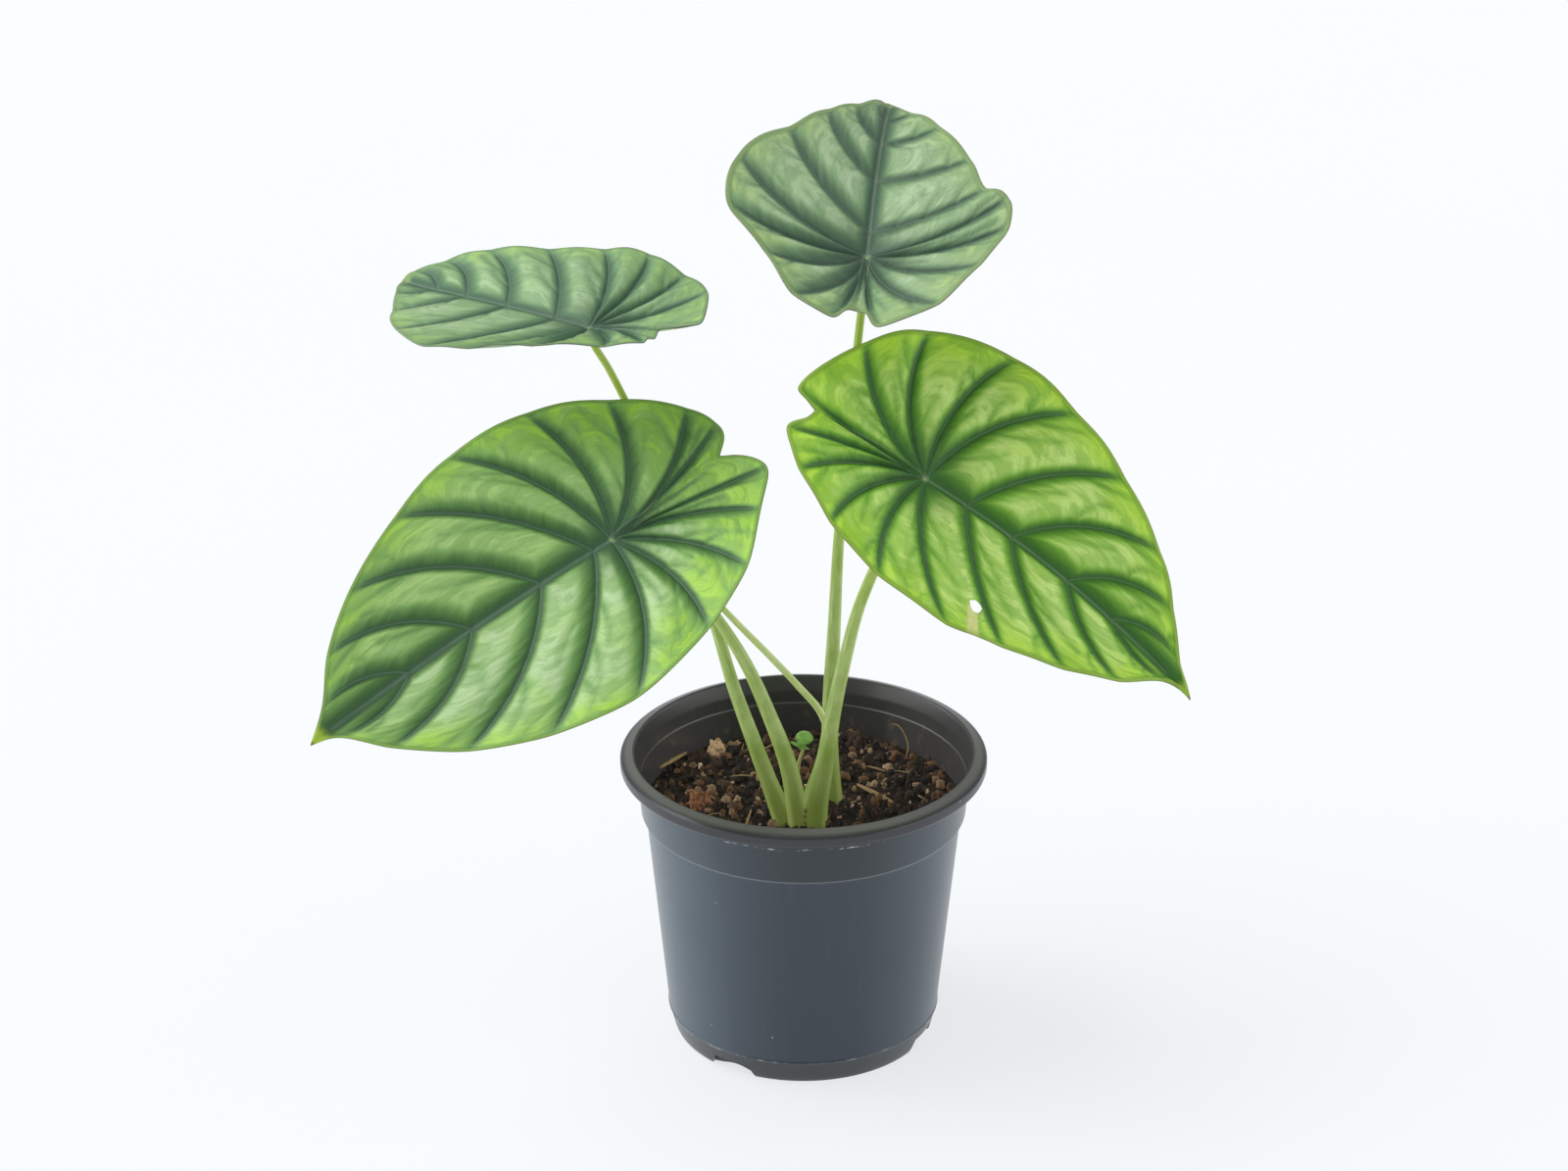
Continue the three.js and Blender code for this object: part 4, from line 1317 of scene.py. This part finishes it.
@dataclass
class Pot:
    """The nursery pot: a moulded shell with a rolled lip, a collar, a heel ring, notches and drain holes."""

    finish: PotFinish
    rim_radius: float = 70.0
    rim_inner: float = 64.5
    height: float = 117.4
    rim_slope: float = 1.6
    rim_bottom: float = 110.9
    throat: float = 62.6
    ledge: float = 106.2
    collar_radius: float = 62.2
    collar_bottom: float = 92.7
    wall_radius: float = 60.4
    heel_radius: float = 52.5
    heel: float = 9.6
    foot_radius: float = 49.8
    floor: float = 1.6
    disc_radius: float = 26.0
    channel: float = 3.0
    sides: int = 240
    notch_angles: tuple[float, ...] = (-123, -24, 66, 156)
    notch_width: float = 15.0
    notch_height: float = 5.2
    notch_flare: float = 3.0
    drain_ring: float = 37.5
    drain_radius: float = 3.6
    drains: int = 8
    drain_sides: int = 28
    collar_inner: float = 60.9
    collar_taper: float = 0.088
    wall_inner: float = 50.2
    wall_from: float = 4.6
    wall_taper: float = 0.1
    sharp_angle: float = 38.0

    def inner_radius(self, z: float) -> float:
        """Reads the radius inside the wall at a height."""
        if z > self.collar_bottom:
            return self.collar_inner + (z - self.collar_bottom) * self.collar_taper
        return self.wall_inner + (z - self.wall_from) * self.wall_taper

    def profile(self) -> np.ndarray:
        """Draws the outline that is turned into the shell, with its corners rounded.

        Returns:
            Radius and height, one point a row.
        """
        h, collar, lip, foot = self.height, self.collar_bottom, self.rim_bottom, self.foot_radius
        corners = [
            (0, 0), (self.disc_radius, 0), (self.disc_radius + 4, self.channel), (foot - 3.6, self.channel),
            (foot - 2.4, 0), (foot, 0), (foot + 0.8, 1.8), (foot + 1.6, 5),
            (self.heel_radius - 0.2, self.heel - 0.5),
            (self.heel_radius + 0.4, self.heel), (self.heel_radius, self.heel + 0.7),
            (self.wall_radius, collar - 1.1), (self.collar_radius, collar),
            (self.collar_radius + 1.3, lip - 0.1),
            (self.rim_radius - 1, lip), (self.rim_radius, lip + 1),
            (self.rim_radius, h - self.rim_slope - 0.7),
            (self.rim_radius - 0.7, h - self.rim_slope), (self.rim_inner + 0.6, h), (self.rim_inner, h - 0.6),
            (self.throat + 0.1, lip + 0.4), (self.throat - 0.15, self.ledge + 0.5),
            (self.inner_radius(self.ledge), self.ledge),
            (self.inner_radius(collar + 0.2), collar + 0.2), (self.inner_radius(collar - 1), collar - 1),
            (self.inner_radius(6.4), 6.4), (foot - 5.4, self.channel + self.floor),
            (self.disc_radius + 4.6, self.channel + self.floor), (self.disc_radius + 0.6, self.floor),
            (0, self.floor),
        ]
        return rounded(corners)

    def shell(self) -> Shape:
        """Turns the profile round the axis.

        Returns:
            The closed shell.
        """
        profile = self.profile()
        body = [around(radius, ring_angles(self.sides), height) for radius, height in profile[1:-1]]
        points = np.vstack([*body, (0, 0, profile[0, 1]), (0, 0, profile[-1, 1])])
        return points, capped_faces(len(body), self.sides)

    def cutter(self, outline: Sequence[Point]) -> bpy.types.Object:
        """Makes a prism that cuts the shell.

        Args:
            outline: the corners of its foot, each as three numbers, with the top's after them.

        Returns:
            The cutting object.
        """
        half = len(outline) // 2
        faces = [tuple(range(half))[::-1], tuple(range(half, 2 * half))]
        for i in range(half):
            j = (i + 1) % half
            faces.append((i, j, half + j, half + i))
        mesh = bpy.data.meshes.new("cutter")
        mesh.from_pydata((np.array(outline, float) * MM).tolist(), [], faces)
        cutter = bpy.data.objects.new("cutter", mesh)
        bpy.context.scene.collection.objects.link(cutter)
        return cutter

    def cutters(self) -> list[bpy.types.Object]:
        """Makes the cutters of the foot notches and the drain holes.

        Returns:
            The cutting objects.
        """
        made = []
        wide, flare = self.notch_width / 2, self.notch_flare
        foot = ((-wide - flare, -1), (wide + flare, -1))
        section = (*foot, (wide, self.notch_height), (-wide, self.notch_height))
        for degrees in self.notch_angles:
            out = around(1.0, math.radians(degrees))
            side = np.array([-out[1], out[0], 0])
            ends = [self.foot_radius - 3, self.foot_radius + 9]
            points = [out * end + side * u + np.array([0, 0, w]) for end in ends for u, w in section]
            made.append(self.cutter(points))
        for angle in ring_angles(self.drains) + math.pi / self.drains:
            ring = around(self.drain_ring, angle) + around(self.drain_radius, ring_angles(self.drain_sides))
            made.append(self.cutter([p + (0, 0, z) for z in (1.0, 7.0) for p in ring]))
        return made

    def build(self) -> bpy.types.Object:
        """Builds the pot, cuts its openings and gives it its finish.

        Returns:
            The piece's object.
        """
        piece = make_piece("pot_shell", self.shell(), [self.finish.material()])
        cutters = self.cutters()
        for cutter in cutters:
            cut = piece.modifiers.new("opening", "BOOLEAN")
            cut.operation = "DIFFERENCE"
            cut.solver = "EXACT"
            cut.object = cutter
        bpy.context.view_layer.update()
        cut_mesh = bpy.data.meshes.new_from_object(piece.evaluated_get(bpy.context.evaluated_depsgraph_get()))
        piece.modifiers.clear()
        piece.data = cut_mesh
        piece.data.set_sharp_from_angle(angle=math.radians(self.sharp_angle))
        for cutter in cutters:
            bpy.data.objects.remove(cutter)
        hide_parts("pot")
        return piece


@dataclass(frozen=True)
class SoilFinish:
    """Damp dark potting soil, and the looks of the grains and straws on it."""

    wet: str = "#0e0906"
    body: str = "#281b12"
    dry: str = "#5a4028"
    hollow_shade: str = "#0c0907"
    crumbs: tuple[str, str, str, str] = ("#120b07", "#3a2617", "#6e4f34", "#a5876a")
    perlite: tuple[str, str] = ("#bf9c7e", "#e2cdb4")
    pebble: tuple[str, str] = ("#c99f7c", "#e0bf9c")
    brick: tuple[str, str] = ("#6d4630", "#a97250")
    cavity: str = "#160f0b"
    straws: tuple[str, str] = ("#b79a6b", "#7d6040")

    def material(self) -> bpy.types.Material:
        """Makes the material of the soil's body; it keeps the height of its fine relief.

        Returns:
            The material.
        """
        bench = Bench("potting_soil")
        relief, _, _ = bench.noted("crumb")
        grain = bench.noise(bench.place(), 420.0, 5.0, 0.65)
        blotch = bench.noise(bench.place(), 90.0, 3.0)
        coat = Coat(bench, self.wet)
        coat.lay(self.body, grain.ease(0.35, 0.65))
        coat.lay(self.dry, blotch.ease(0.5, 0.7) * grain.ease(0.5, 0.7))
        # Painted shade: darker in the hollows of the fine relief.
        coat.lay(self.hollow_shade, relief.ease(-0.1, -0.9, 0.0, 0.8))
        return bench.close(coat.colour, 0.9, grain, 1.2)

    def grains(self) -> bpy.types.Material:
        """Makes the material of loose grains; each keeps its tone and its kind.

        Returns:
            The material.
        """
        bench = Bench("soil_grains")
        tone, kind, _ = bench.noted("crumb")
        fine = bench.noise(bench.place(), 700.0, 4.0, 0.6)
        black, umber, brown, tan = self.crumbs
        coat = Coat(bench, black)
        coat.lay(umber, tone.ease(0.0, 0.5))
        coat.lay(brown, tone.ease(0.5, 0.8))
        coat.lay(tan, tone.ease(0.86, 0.98))
        looks = (
            (Mineral.PERLITE, self.perlite, tone.ease(0.4, 0.9)),
            (Mineral.PEBBLE, self.pebble, fine.ease(0.3, 0.7)),
            (Mineral.BRICK, self.brick, fine.ease(0.35, 0.65)),
        )
        for mineral, pair, share in looks:
            coat.lay(bench.mix(share, *pair), kind.ease(mineral.value - 0.6, mineral.value - 0.4))
        coat.lay(self.cavity, fine.ease(0.55, 0.3, 0.0, 0.55))
        return bench.close(coat.colour, 0.85, fine, 0.6)

    def straw(self) -> bpy.types.Material:
        """Makes the material of straws and fibres.

        Returns:
            The material.
        """
        bench = Bench("dry_straw")
        fine = bench.noise(bench.place(), 500.0, 3.0)
        return bench.close(bench.mix(fine, *self.straws), 0.7, fine, 0.2)


@dataclass
class Soil:
    """The soil that fills the pot, with crumbs, perlite, larger lumps and straws on it.

    A lump is its place, its radius, the share of that which is sunk, and its kind. A straw is its route and
    its radius.
    """

    finish: SoilFinish
    pot: Pot
    level: float = 94.3
    relief: float = 1.5
    mound: float = 1.2
    mound_spread: float = 500.0
    mound_at: tuple[float, float] = (1.5, -11.0)
    gap: float = 0.3
    under: float = 1.9
    fine_relief: float = 1.3
    rings: int = 120
    sides: int = 260
    crumbs: int = 2150
    perlite: int = 70
    keep_clear: float = 11.0
    coarse_from: float = 3.5
    knobbly_from: float = 4.0
    tall: tuple[float, float, float] = (0.8, 0.85, 1.1)
    loose_straws: int = 26
    straw_reach: float = 52.0
    seed: int = 7
    lumps: tuple[tuple[float, float, float, float, Mineral], ...] = (
        (-40.1, -2.4, 5.2, 0.25, Mineral.BRICK),
        (-34.4, 39.2, 3.9, 0.0, Mineral.PEBBLE),
        (-41.3, 34.0, 4.4, 0.3, Mineral.CRUMB),
        (21.6, 50.0, 4.6, 0.3, Mineral.CRUMB),
    )
    straws: tuple[tuple[tuple[Point, ...], float], ...] = (
        (((-55.5, 22.3, 98), (-51, 30, 97.2), (-46, 38.4, 96.2)), 0.8),
        (((20.9, 9.0, 97.3), (27.5, 2.4, 97), (34.2, -4.1, 96.4)), 0.85),
        (((40.6, 38.2, 95), (41.2, 39.5, 99), (39, 41, 104.5), (37, 42, 106.5), (34.8, 42.5, 106.8)), 0.28),
        (((-22.5, -24, 95.5), (-21, -19, 97.4), (-19.4, -9, 97.6)), 0.4),
    )

    def broad(self, x: np.ndarray, y: np.ndarray) -> np.ndarray:
        """Reads the broad relief of the surface, the same as the solid's.

        Args:
            x: the places' distances to the right.
            y: their distances back.

        Returns:
            The heights above the soil's level.
        """
        waves = np.sin(x * 0.21 + 1.3) * np.cos(y * 0.17 - 0.6)
        waves = waves + 0.7 * np.sin(x * 0.47 - y * 0.39 + 2.1) + 0.5 * np.cos(x * 0.83 + y * 0.71)
        near = np.exp(-((x - self.mound_at[0]) ** 2 + (y - self.mound_at[1]) ** 2) / self.mound_spread)
        return waves * self.relief / 2.2 + self.mound * near

    def surface(self, x: float, y: float) -> float:
        """Reads the height of the broad surface at a place."""
        return self.level + float(self.broad(x, y))

    def fine(self, x: float, y: float) -> float:
        """Reads the fine crumbly relief at a place.

        Args:
            x: how far to the right it lies.
            y: how far back it lies.

        Returns:
            The height above the broad surface.
        """
        coarse = noise.fractal(Vector((x * 0.22, y * 0.22, 3.1)), 0.9, 2.1, 4)
        grain = noise.noise(Vector((x * 1.1, y * 1.1, 8.4)))
        return self.fine_relief * (1.1 * coarse + 0.45 * abs(grain))

    def build_body(self) -> bpy.types.Object:
        """Builds the body of soil.

        Returns:
            The piece's object.
        """
        pot, collar, ring = self.pot, self.pot.collar_bottom, ring_angles(self.sides)
        edge = pot.inner_radius(self.level) - self.gap
        radii = edge * (np.arange(1, self.rings + 1) / self.rings)
        x, y = np.outer(radii, np.cos(ring)), np.outer(radii, np.sin(ring))
        fine = np.array([self.fine(a, b) for a, b in zip(x.ravel(), y.ravel())]).reshape(x.shape)
        fade = smooth((edge - radii) / 4)[:, None]
        z = self.level + self.broad(x, y) * (0.3 + 0.7 * fade) + fine * (0.4 + 0.6 * fade)
        outline = [(pot.inner_radius(collar) - self.gap, collar + 0.5)]
        outline += [(pot.inner_radius(height) - self.gap, height) for height in (collar - 1.4, 8)]
        outline += [(pot.foot_radius - 5.8, 4.9), (pot.disc_radius + 4.8, 4.9), (pot.disc_radius, self.under)]
        sides = [around(radius, ring, height) for radius, height in outline]
        top = np.stack([x, y, z], -1).reshape(-1, 3)
        points = np.vstack([top, *sides, (0, 0, z[0].mean()), (0, 0, self.under)])
        faces = [face[::-1] for face in capped_faces(self.rings + len(outline), self.sides)]
        piece = make_piece("soil_body", (points, faces), [self.finish.material()])
        depth = np.zeros((len(points), 3))
        depth[: fine.size, 0] = fine.ravel()
        note(piece, "crumb", depth)
        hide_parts("soil")
        return piece

    def scatter(self) -> list[tuple[float, float, float, float, float, Mineral]]:
        """Scatters the grains.

        Returns:
            The place, the radius, the share sunk, the tone and the kind of each.
        """
        random = np.random.default_rng(self.seed)
        reach = self.pot.inner_radius(self.level) - 1.6
        rows = []
        for i in range(self.crumbs + self.perlite):
            kind = Mineral.CRUMB if i < self.crumbs else Mineral.PERLITE
            far, angle = reach * math.sqrt(random.random()), 2 * math.pi * random.random()
            x, y = far * math.cos(angle), far * math.sin(angle)
            draw = random.random()
            size = 0.45 + 1.7 * draw**3 if kind is Mineral.CRUMB else 0.4 + 0.7 * draw
            tone = random.random()
            from_mound = math.hypot(x - self.mound_at[0], y - self.mound_at[1])
            if from_mound > self.keep_clear or kind is Mineral.CRUMB:
                rows.append((x, y, min(size, reach + 1.2 - far), -0.25, tone, kind))
        return rows

    def build_grains(self) -> bpy.types.Object:
        """Builds the loose grains and the larger lumps as one piece.

        Returns:
            The piece's object.
        """
        random = np.random.default_rng(self.seed + 1)
        small, large = ball(2), ball(4)
        shapes, notes = [], []
        rows = self.scatter() + [(x, y, r, sunk, 0.5, kind) for x, y, r, sunk, kind in self.lumps]
        for x, y, size, sunk, tone, kind in rows:
            points, faces = large if size > self.coarse_from else small
            seed = random.random() * 50
            bumps = roughness(points, 1.7, (seed, 0, 0))
            if size > self.knobbly_from:
                bumps = bumps + 0.35 * roughness(points, 4.5, (0, seed, 0))
            stretch = random.uniform(0.6, 1.3, 3) if size < self.coarse_from else np.array(self.tall)
            shape = points * (1 + 0.6 * bumps)[:, None] * stretch * size
            turn = turned(Axis.Z, random.random() * 6)
            z = self.surface(x, y) + self.fine(x, y) + size * (0.35 - sunk)
            shapes.append((shape @ turn.T + (x, y, z), faces))
            notes.append(np.tile((tone, kind.value, 0.0), (len(points), 1)))
        piece = make_piece("soil_grains", merged(shapes), [self.finish.grains()])
        note(piece, "crumb", np.vstack(notes))
        return piece

    def build_straws(self) -> bpy.types.Object:
        """Builds the straws and rootlets as one piece.

        Returns:
            The piece's object.
        """
        random = np.random.default_rng(self.seed + 2)
        routes = list(self.straws)
        for _ in range(self.loose_straws):
            far, angle = self.straw_reach * math.sqrt(random.random()), 2 * math.pi * random.random()
            x, y = far * math.cos(angle), far * math.sin(angle)
            way = random.random() * 2 * math.pi
            step = around(random.uniform(2.5, 6), way)
            start = np.array((x, y, self.surface(x, y) + 1.0))
            bowed = start + (0, 0, random.uniform(0.1, 0.8))
            routes.append(((start - step, bowed, start + step), random.uniform(0.15, 0.4)))
        shape = merged(fibre(route, radius) for route, radius in routes)
        return make_piece("soil_straws", shape, [self.finish.straw()])


@dataclass(frozen=True)
class SeedlingFinish:
    """Fresh green skin of a small weed, with a pale stem below the stem top."""

    skin: tuple[str, str] = ("#6a9a42", "#8cb85a")
    stem: str = "#b3b070"
    stem_top: float = 0.1055

    def material(self) -> bpy.types.Material:
        """Makes the material.

        Returns:
            The material.
        """
        bench = Bench("seedling_skin")
        fine = bench.noise(bench.place(), 600.0, 3.0)
        coat = Coat(bench, bench.mix(fine.ease(0.3, 0.7), *self.skin))
        coat.lay(self.stem, bench.parts(bench.place())[2].ease(self.stem_top, self.stem_top - 2 * MM))
        return bench.close(coat.colour, 0.5, fine, 0.1)


@dataclass
class Seedling:
    """A small weed with two oval leaves on a thin stem."""

    finish: SeedlingFinish
    foot: tuple[float, float, float] = (-1.4, 25.7, 94.3)
    lean: tuple[float, float, float] = (2.3, -0.7, 16.2)
    stem_radius: float = 0.7

    def leaf(self, size: Point, tilt: Point, at: Point) -> Shape:
        """Shapes one oval leaf with a crease along its middle.

        Args:
            size: its half length, half width and half thickness.
            tilt: its turns about X, Y and Z in radians.
            at: its place from the foot.

        Returns:
            The leaf.
        """
        points, faces = ball(4)
        x, y, z = points.T
        crease = swell(y, 0.35, 0.16) + 0.5 * y**2
        pointed = 1 - 0.3 * np.maximum(x, 0) ** 2
        shape = np.c_[x, y * pointed, z - crease] * np.array(size)
        turn = turned(Axis.Z, tilt[2]) @ turned(Axis.Y, tilt[1]) @ turned(Axis.X, tilt[0])
        return shape @ turn.T + np.add(self.foot, at), faces

    def build(self) -> bpy.types.Object:
        """Builds the stem and the leaves as one piece.

        Returns:
            The piece's object.
        """
        dx, dy, dz = self.lean
        stem = ((0, 0, -5), (-0.4, 0, 3), (dx * 0.6, dy * 0.6, dz * 0.62), (dx, dy, dz - 0.5))
        branch = ((0.4, -0.2, dz - 6.4), (-0.4, 0.1, dz - 5.2), (-1.2, 0.2, dz - 4.5))
        shape = merged([
            fibre(np.add(self.foot, stem), self.stem_radius, 16),
            fibre(np.add(self.foot, branch), self.stem_radius * 0.6, 12),
            self.leaf((3.5, 2.9, 0.4), (0.85, 0.1, -0.25), (dx - 0.4, dy - 0.9, dz - 0.6)),
            self.leaf((4.0, 1.0, 0.3), (0.5, 0.36, -0.1), (dx - 2.2, dy - 0.4, dz - 4.2)),
        ])
        piece = make_piece("seedling_plant", shape, [self.finish.material()])
        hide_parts("seedling")
        return piece


@dataclass(frozen=True)
class CrownFinish:
    """Brown corky skin of the buried crown, with darker rings."""

    skin: tuple[str, str] = ("#4f3b24", "#8a7048")
    rings: str = "#33261a"

    def dress(self, node: bpy.types.Object) -> None:
        """Gives the crown its material.

        Args:
            node: the crown's own object.
        """
        bench = Bench("crown_cork")
        fine = bench.noise(bench.place(), 300.0, 5.0, 0.6)
        ring = bench.noise(bench.vector(0.0, 0.0, bench.parts(bench.place())[2]), 400.0)
        coat = Coat(bench, bench.mix(fine.ease(0.3, 0.7), *self.skin))
        coat.lay(self.rings, ring.ease(0.45, 0.6, 0.0, 0.5))
        node.data.materials.clear()
        node.data.materials.append(bench.close(coat.colour, 0.85, fine, 0.8))


@dataclass
class Studio:
    """The pale floor, the soft light and the camera at the photograph's angle.

    A light is its name, its power for each square metre, how wide it looks in degrees, the direction in which
    it shines, its colour and whether it casts a shadow.
    """

    camera_at: tuple[float, float, float] = (-7.48, -1350.0, 795.7)
    look_down: float = 24.32
    lens: float = 90.87
    floor_width: float = 40.0
    floor: tuple[str, str] = ("#7c7e81", "#808285")
    glow: str = "#fbfdff"
    glow_strength: float = 0.72
    sky: str = "#f7f9fb"
    sky_strength: float = 0.45
    lights: tuple[tuple[str, float, float, Point, str, bool], ...] = (
        ("key", 2.0, 45, (0.5, -0.1, -0.85), "#fffdfa", True),
        ("left", 2.4, 75, (0.95, 0.1, 0.0), "#ffffff", False),
        ("right", 1.6, 75, (-0.95, 0.15, 0.0), "#ffffff", False),
    )

    def build(self) -> None:
        """Builds the floor, the world, the lights and the camera."""
        scene = bpy.context.scene
        self.build_floor()
        for light in self.lights:
            self.build_light(*light)
        world = bpy.data.worlds.new("studio")
        world.use_nodes = True
        sky = world.node_tree.nodes["Background"]
        sky.inputs["Color"].default_value = linear(self.sky)
        sky.inputs["Strength"].default_value = self.sky_strength
        scene.world = world
        scene.view_settings.view_transform = "Standard"
        camera = bpy.data.objects.new("camera", bpy.data.cameras.new("camera"))
        camera.data.lens = self.lens
        camera.data.clip_end = 100
        camera.location = Vector(self.camera_at) * MM
        camera.rotation_euler = (math.radians(90 - self.look_down), 0, 0)
        scene.collection.objects.link(camera)
        scene.camera = camera

    def build_floor(self) -> None:
        """Builds a wide plain floor that glows a little."""
        half = self.floor_width / 2
        corners = [(-half, -half, 0), (half, -half, 0), (half, half, 0), (-half, half, 0)]
        mesh = bpy.data.meshes.new("floor")
        mesh.from_pydata(corners, [], [(0, 1, 2, 3)])
        floor = bpy.data.objects.new("floor", mesh)
        bench = Bench("paper")
        bench.fill(bench.shader, {"Emission Color": self.glow, "Emission Strength": self.glow_strength})
        mesh.materials.append(bench.close(bench.mix(bench.noise(bench.place(), 2.0), *self.floor), 0.9))
        bpy.context.scene.collection.objects.link(floor)

    def build_light(
        self, name: str, power: float, spread: float, way: Point, colour: str, shadow: bool
    ) -> None:
        """Adds a wide soft light from far away.

        Args:
            name: its name.
            power: its power for each square metre.
            spread: how wide it looks, in degrees.
            way: the direction in which it shines.
            colour: its screen colour.
            shadow: whether it casts a shadow.
        """
        lamp = bpy.data.lights.new(name, "SUN")
        lamp.use_shadow = shadow
        lamp.energy = power
        lamp.angle = math.radians(spread)
        lamp.color = linear(colour)[:3]
        light = bpy.data.objects.new(name, lamp)
        light.rotation_euler = Vector(way).to_track_quat("-Z", "Y").to_euler()
        bpy.context.scene.collection.objects.link(light)


def blades() -> dict[str, Blade]:
    """Lists the four blades.

    Returns:
        Each blade by the name of its stalk.
    """
    return {
        "front_left": Blade(
            "blade_front_left", GREY_GREEN, "blade", (-70, -34, 219.3), -144, -16, -33, 7, -18,
            (0.24, 0.2), (-0.5, 0.3),
            -15, 2, 0.1, (8, 32, 63, 91, 135), (-53, -4.3),
            ((179, 59.3), (169, 63.9), (152, 55.7), (123, 52.3), (91, 54.5), (59, 69), (37, 84.2),
             (21, 100.1),
             (9, 115.1), (1.5, 126.4)),
            ((171, 59.9), (166, 61.9), (154, 61.4), (126, 55.1), (92, 56), (59, 65), (37, 79.1), (21, 98.6),
             (11, 113.7), (3.7, 124.3)),
            seed=3,
        ),
        "front_right": Blade(
            "blade_front_right", BRIGHT_GREEN, "blade_bright", (43.7, -29, 241.2), -11, -30, 30, 11, -4,
            (0.28, 0.14),
            (-1.2, 0.4), 5, -7, 0.4, (18, 38, 64, 85, 128), (-47, -0.7),
            ((179, 51.3), (176, 56.6), (145, 53.9), (119, 54.2), (84, 55.8), (57, 60.2), (36, 72.9),
             (20, 89.1),
             (10, 102.4), (3.3, 116.4)),
            ((173, 48.7), (165, 54.9), (144, 52), (118, 48.9), (88, 51.4), (58, 62), (38, 71), (22, 87.3),
             (11, 102.6), (1, 117.4)),
            seed=5,
            tear=((35.7, -38), (36.9, -35.1), (39.4, -34.7), (42, -35.2), (41.2, -40.1), (37.8, -40.4)),
        ),
        "back_left": Blade(
            "blade_back_left", SAGE, "blade", (-79.2, 16, 282.6), 142, 0, -16, 21, -36, (0.38, 0.1),
            (-1.3, 3),
            -10, -16, 0.7, (17, 44, 70, 92, 123), (-29, -6.5),
            ((185, 31.5), (178, 33), (165, 39), (143, 29), (97.9, 34.5), (76.3, 48.9), (61.8, 58.6),
             (36, 67.7),
             (13.2, 90.9), (4.1, 110.8)),
            ((168, 42), (167, 48.5), (135, 45.6), (108, 43.4), (82, 45), (55, 49.7), (31, 63), (16, 84.5),
             (7.5, 106.7), (2.5, 120)),
            seed=8,
        ),
        "back_right": Blade(
            "blade_back_right", DUSKY, "blade", (22.8, 15, 310.4), 85, 23, 4, 21, -36, (0.32, 0.3),
            (-0.9, -0.6),
            5, -2, 0.2, (14, 46, 75, 98, 121), (-33.6, 2),
            ((172, 36.5), (167, 43.6), (145, 43.9), (114, 40.6), (84, 53), (60, 58.6), (31, 66.9), (14, 89),
             (6.2, 101.6), (1, 120)),
            ((178, 35.5), (172, 46.5), (144, 47.6), (111.5, 45), (82.8, 51.2), (66, 54), (53.6, 50.8),
             (32, 64.3), (14, 86.6), (5.2, 106)),
            seed=11,
        ),
    }


def stalks(leaves: dict[str, Blade]) -> list[Stalk]:
    """Lists the five stalks, the last without a blade.

    Args:
        leaves: the blades by the name of their stalk.

    Returns:
        The stalks in the order in which they are built.
    """
    skin = StalkFinish()
    pale_skin = StalkFinish(
        "thin_stalk_skin", foot="#b3c47c", body="#b0c274", pale="#c2d08e", upper="#b6c87c"
    )
    return [
        Stalk(
            "stalk_front_right", skin,
            ((4.6, -20.5, 88), (4.9, -20.5, 96), (5.8, -20.8, 107.7), (7.6, -21.2, 119.5),
             (10.8, -22.5, 143.2),
             (15.2, -23.5, 166.5), (20.6, -24, 189.1), (32, -23.4, 217)),
            4.3, 1.9, 42, 4.4, 180, leaves["front_right"],
        ),
        Stalk(
            "stalk_front_left", skin,
            ((-1.8, -20.5, 88), (-2.1, -20.5, 96), (-5.5, -20.3, 119), (-13.2, -20, 142), (-23.1, -20, 165.6),
             (-38.2, -19.6, 189), (-57, -22, 207.5)),
            4.3, 1.7, 24, 1.8, 0, leaves["front_left"],
        ),
        Stalk(
            "stalk_back_left", skin,
            ((-7.2, -18.5, 88), (-7.9, -18.5, 95), (-11.2, -18.5, 106.5), (-18.9, -17.5, 129.4),
             (-26.4, -15, 151.1),
             (-32.4, -10.5, 171.7), (-43.9, 0, 206.6), (-56.6, 9, 234.4), (-72, 17.5, 265)),
            3.8, 1.3, 28, 2.4, 0, leaves["back_left"],
        ),
        Stalk(
            "stalk_back_right", skin,
            ((10.9, -1, 88), (10.7, -1, 97), (10.1, -1, 109.4), (9.9, -1, 121), (10.2, -1, 144.3),
             (11.3, -0.5, 167),
             (12.7, 1.5, 200), (14.4, 4, 222.7), (16.6, 7, 245), (19.7, 12.5, 278.2)),
            3.9, 1.5, 32, 0.6, 0, leaves["back_right"],
        ),
        Stalk(
            "stalk_thin", pale_skin,
            ((6.6, -12.5, 88), (6.8, -12.5, 97), (7.9, -12.2, 108), (9.6, -12, 126.6), (6.5, -12, 138.2),
             (-2.1, -12.7, 149.9), (-11.9, -14, 162), (-22.1, -15, 173.8), (-37.2, -16, 191),
             (-44, -16.3, 197)),
            1.9, 1.1, 14, 0.8, 90,
        ),
    ]


def report(piece: bpy.types.Object) -> None:
    """Logs a finished piece."""
    LOG.info("%s: %d vertices, %d faces", piece.name, len(piece.data.vertices), len(piece.data.polygons))


def main() -> None:
    """Builds the studio and every piece, and logs each piece's vertices and faces."""
    logging.basicConfig(level=logging.INFO, format="%(name)s %(message)s")
    Studio().build()
    pot = Pot(PotFinish())
    report(pot.build())
    soil = Soil(SoilFinish(), pot)
    report(soil.build_body())
    report(soil.build_grains())
    report(soil.build_straws())
    CrownFinish().dress(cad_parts["crown"])
    leaves = blades()
    for stalk in stalks(leaves):
        report(stalk.build())
    for blade in leaves.values():
        report(blade.build())
    report(Seedling(SeedlingFinish()).build())


if __name__ == "__main__":
    main()
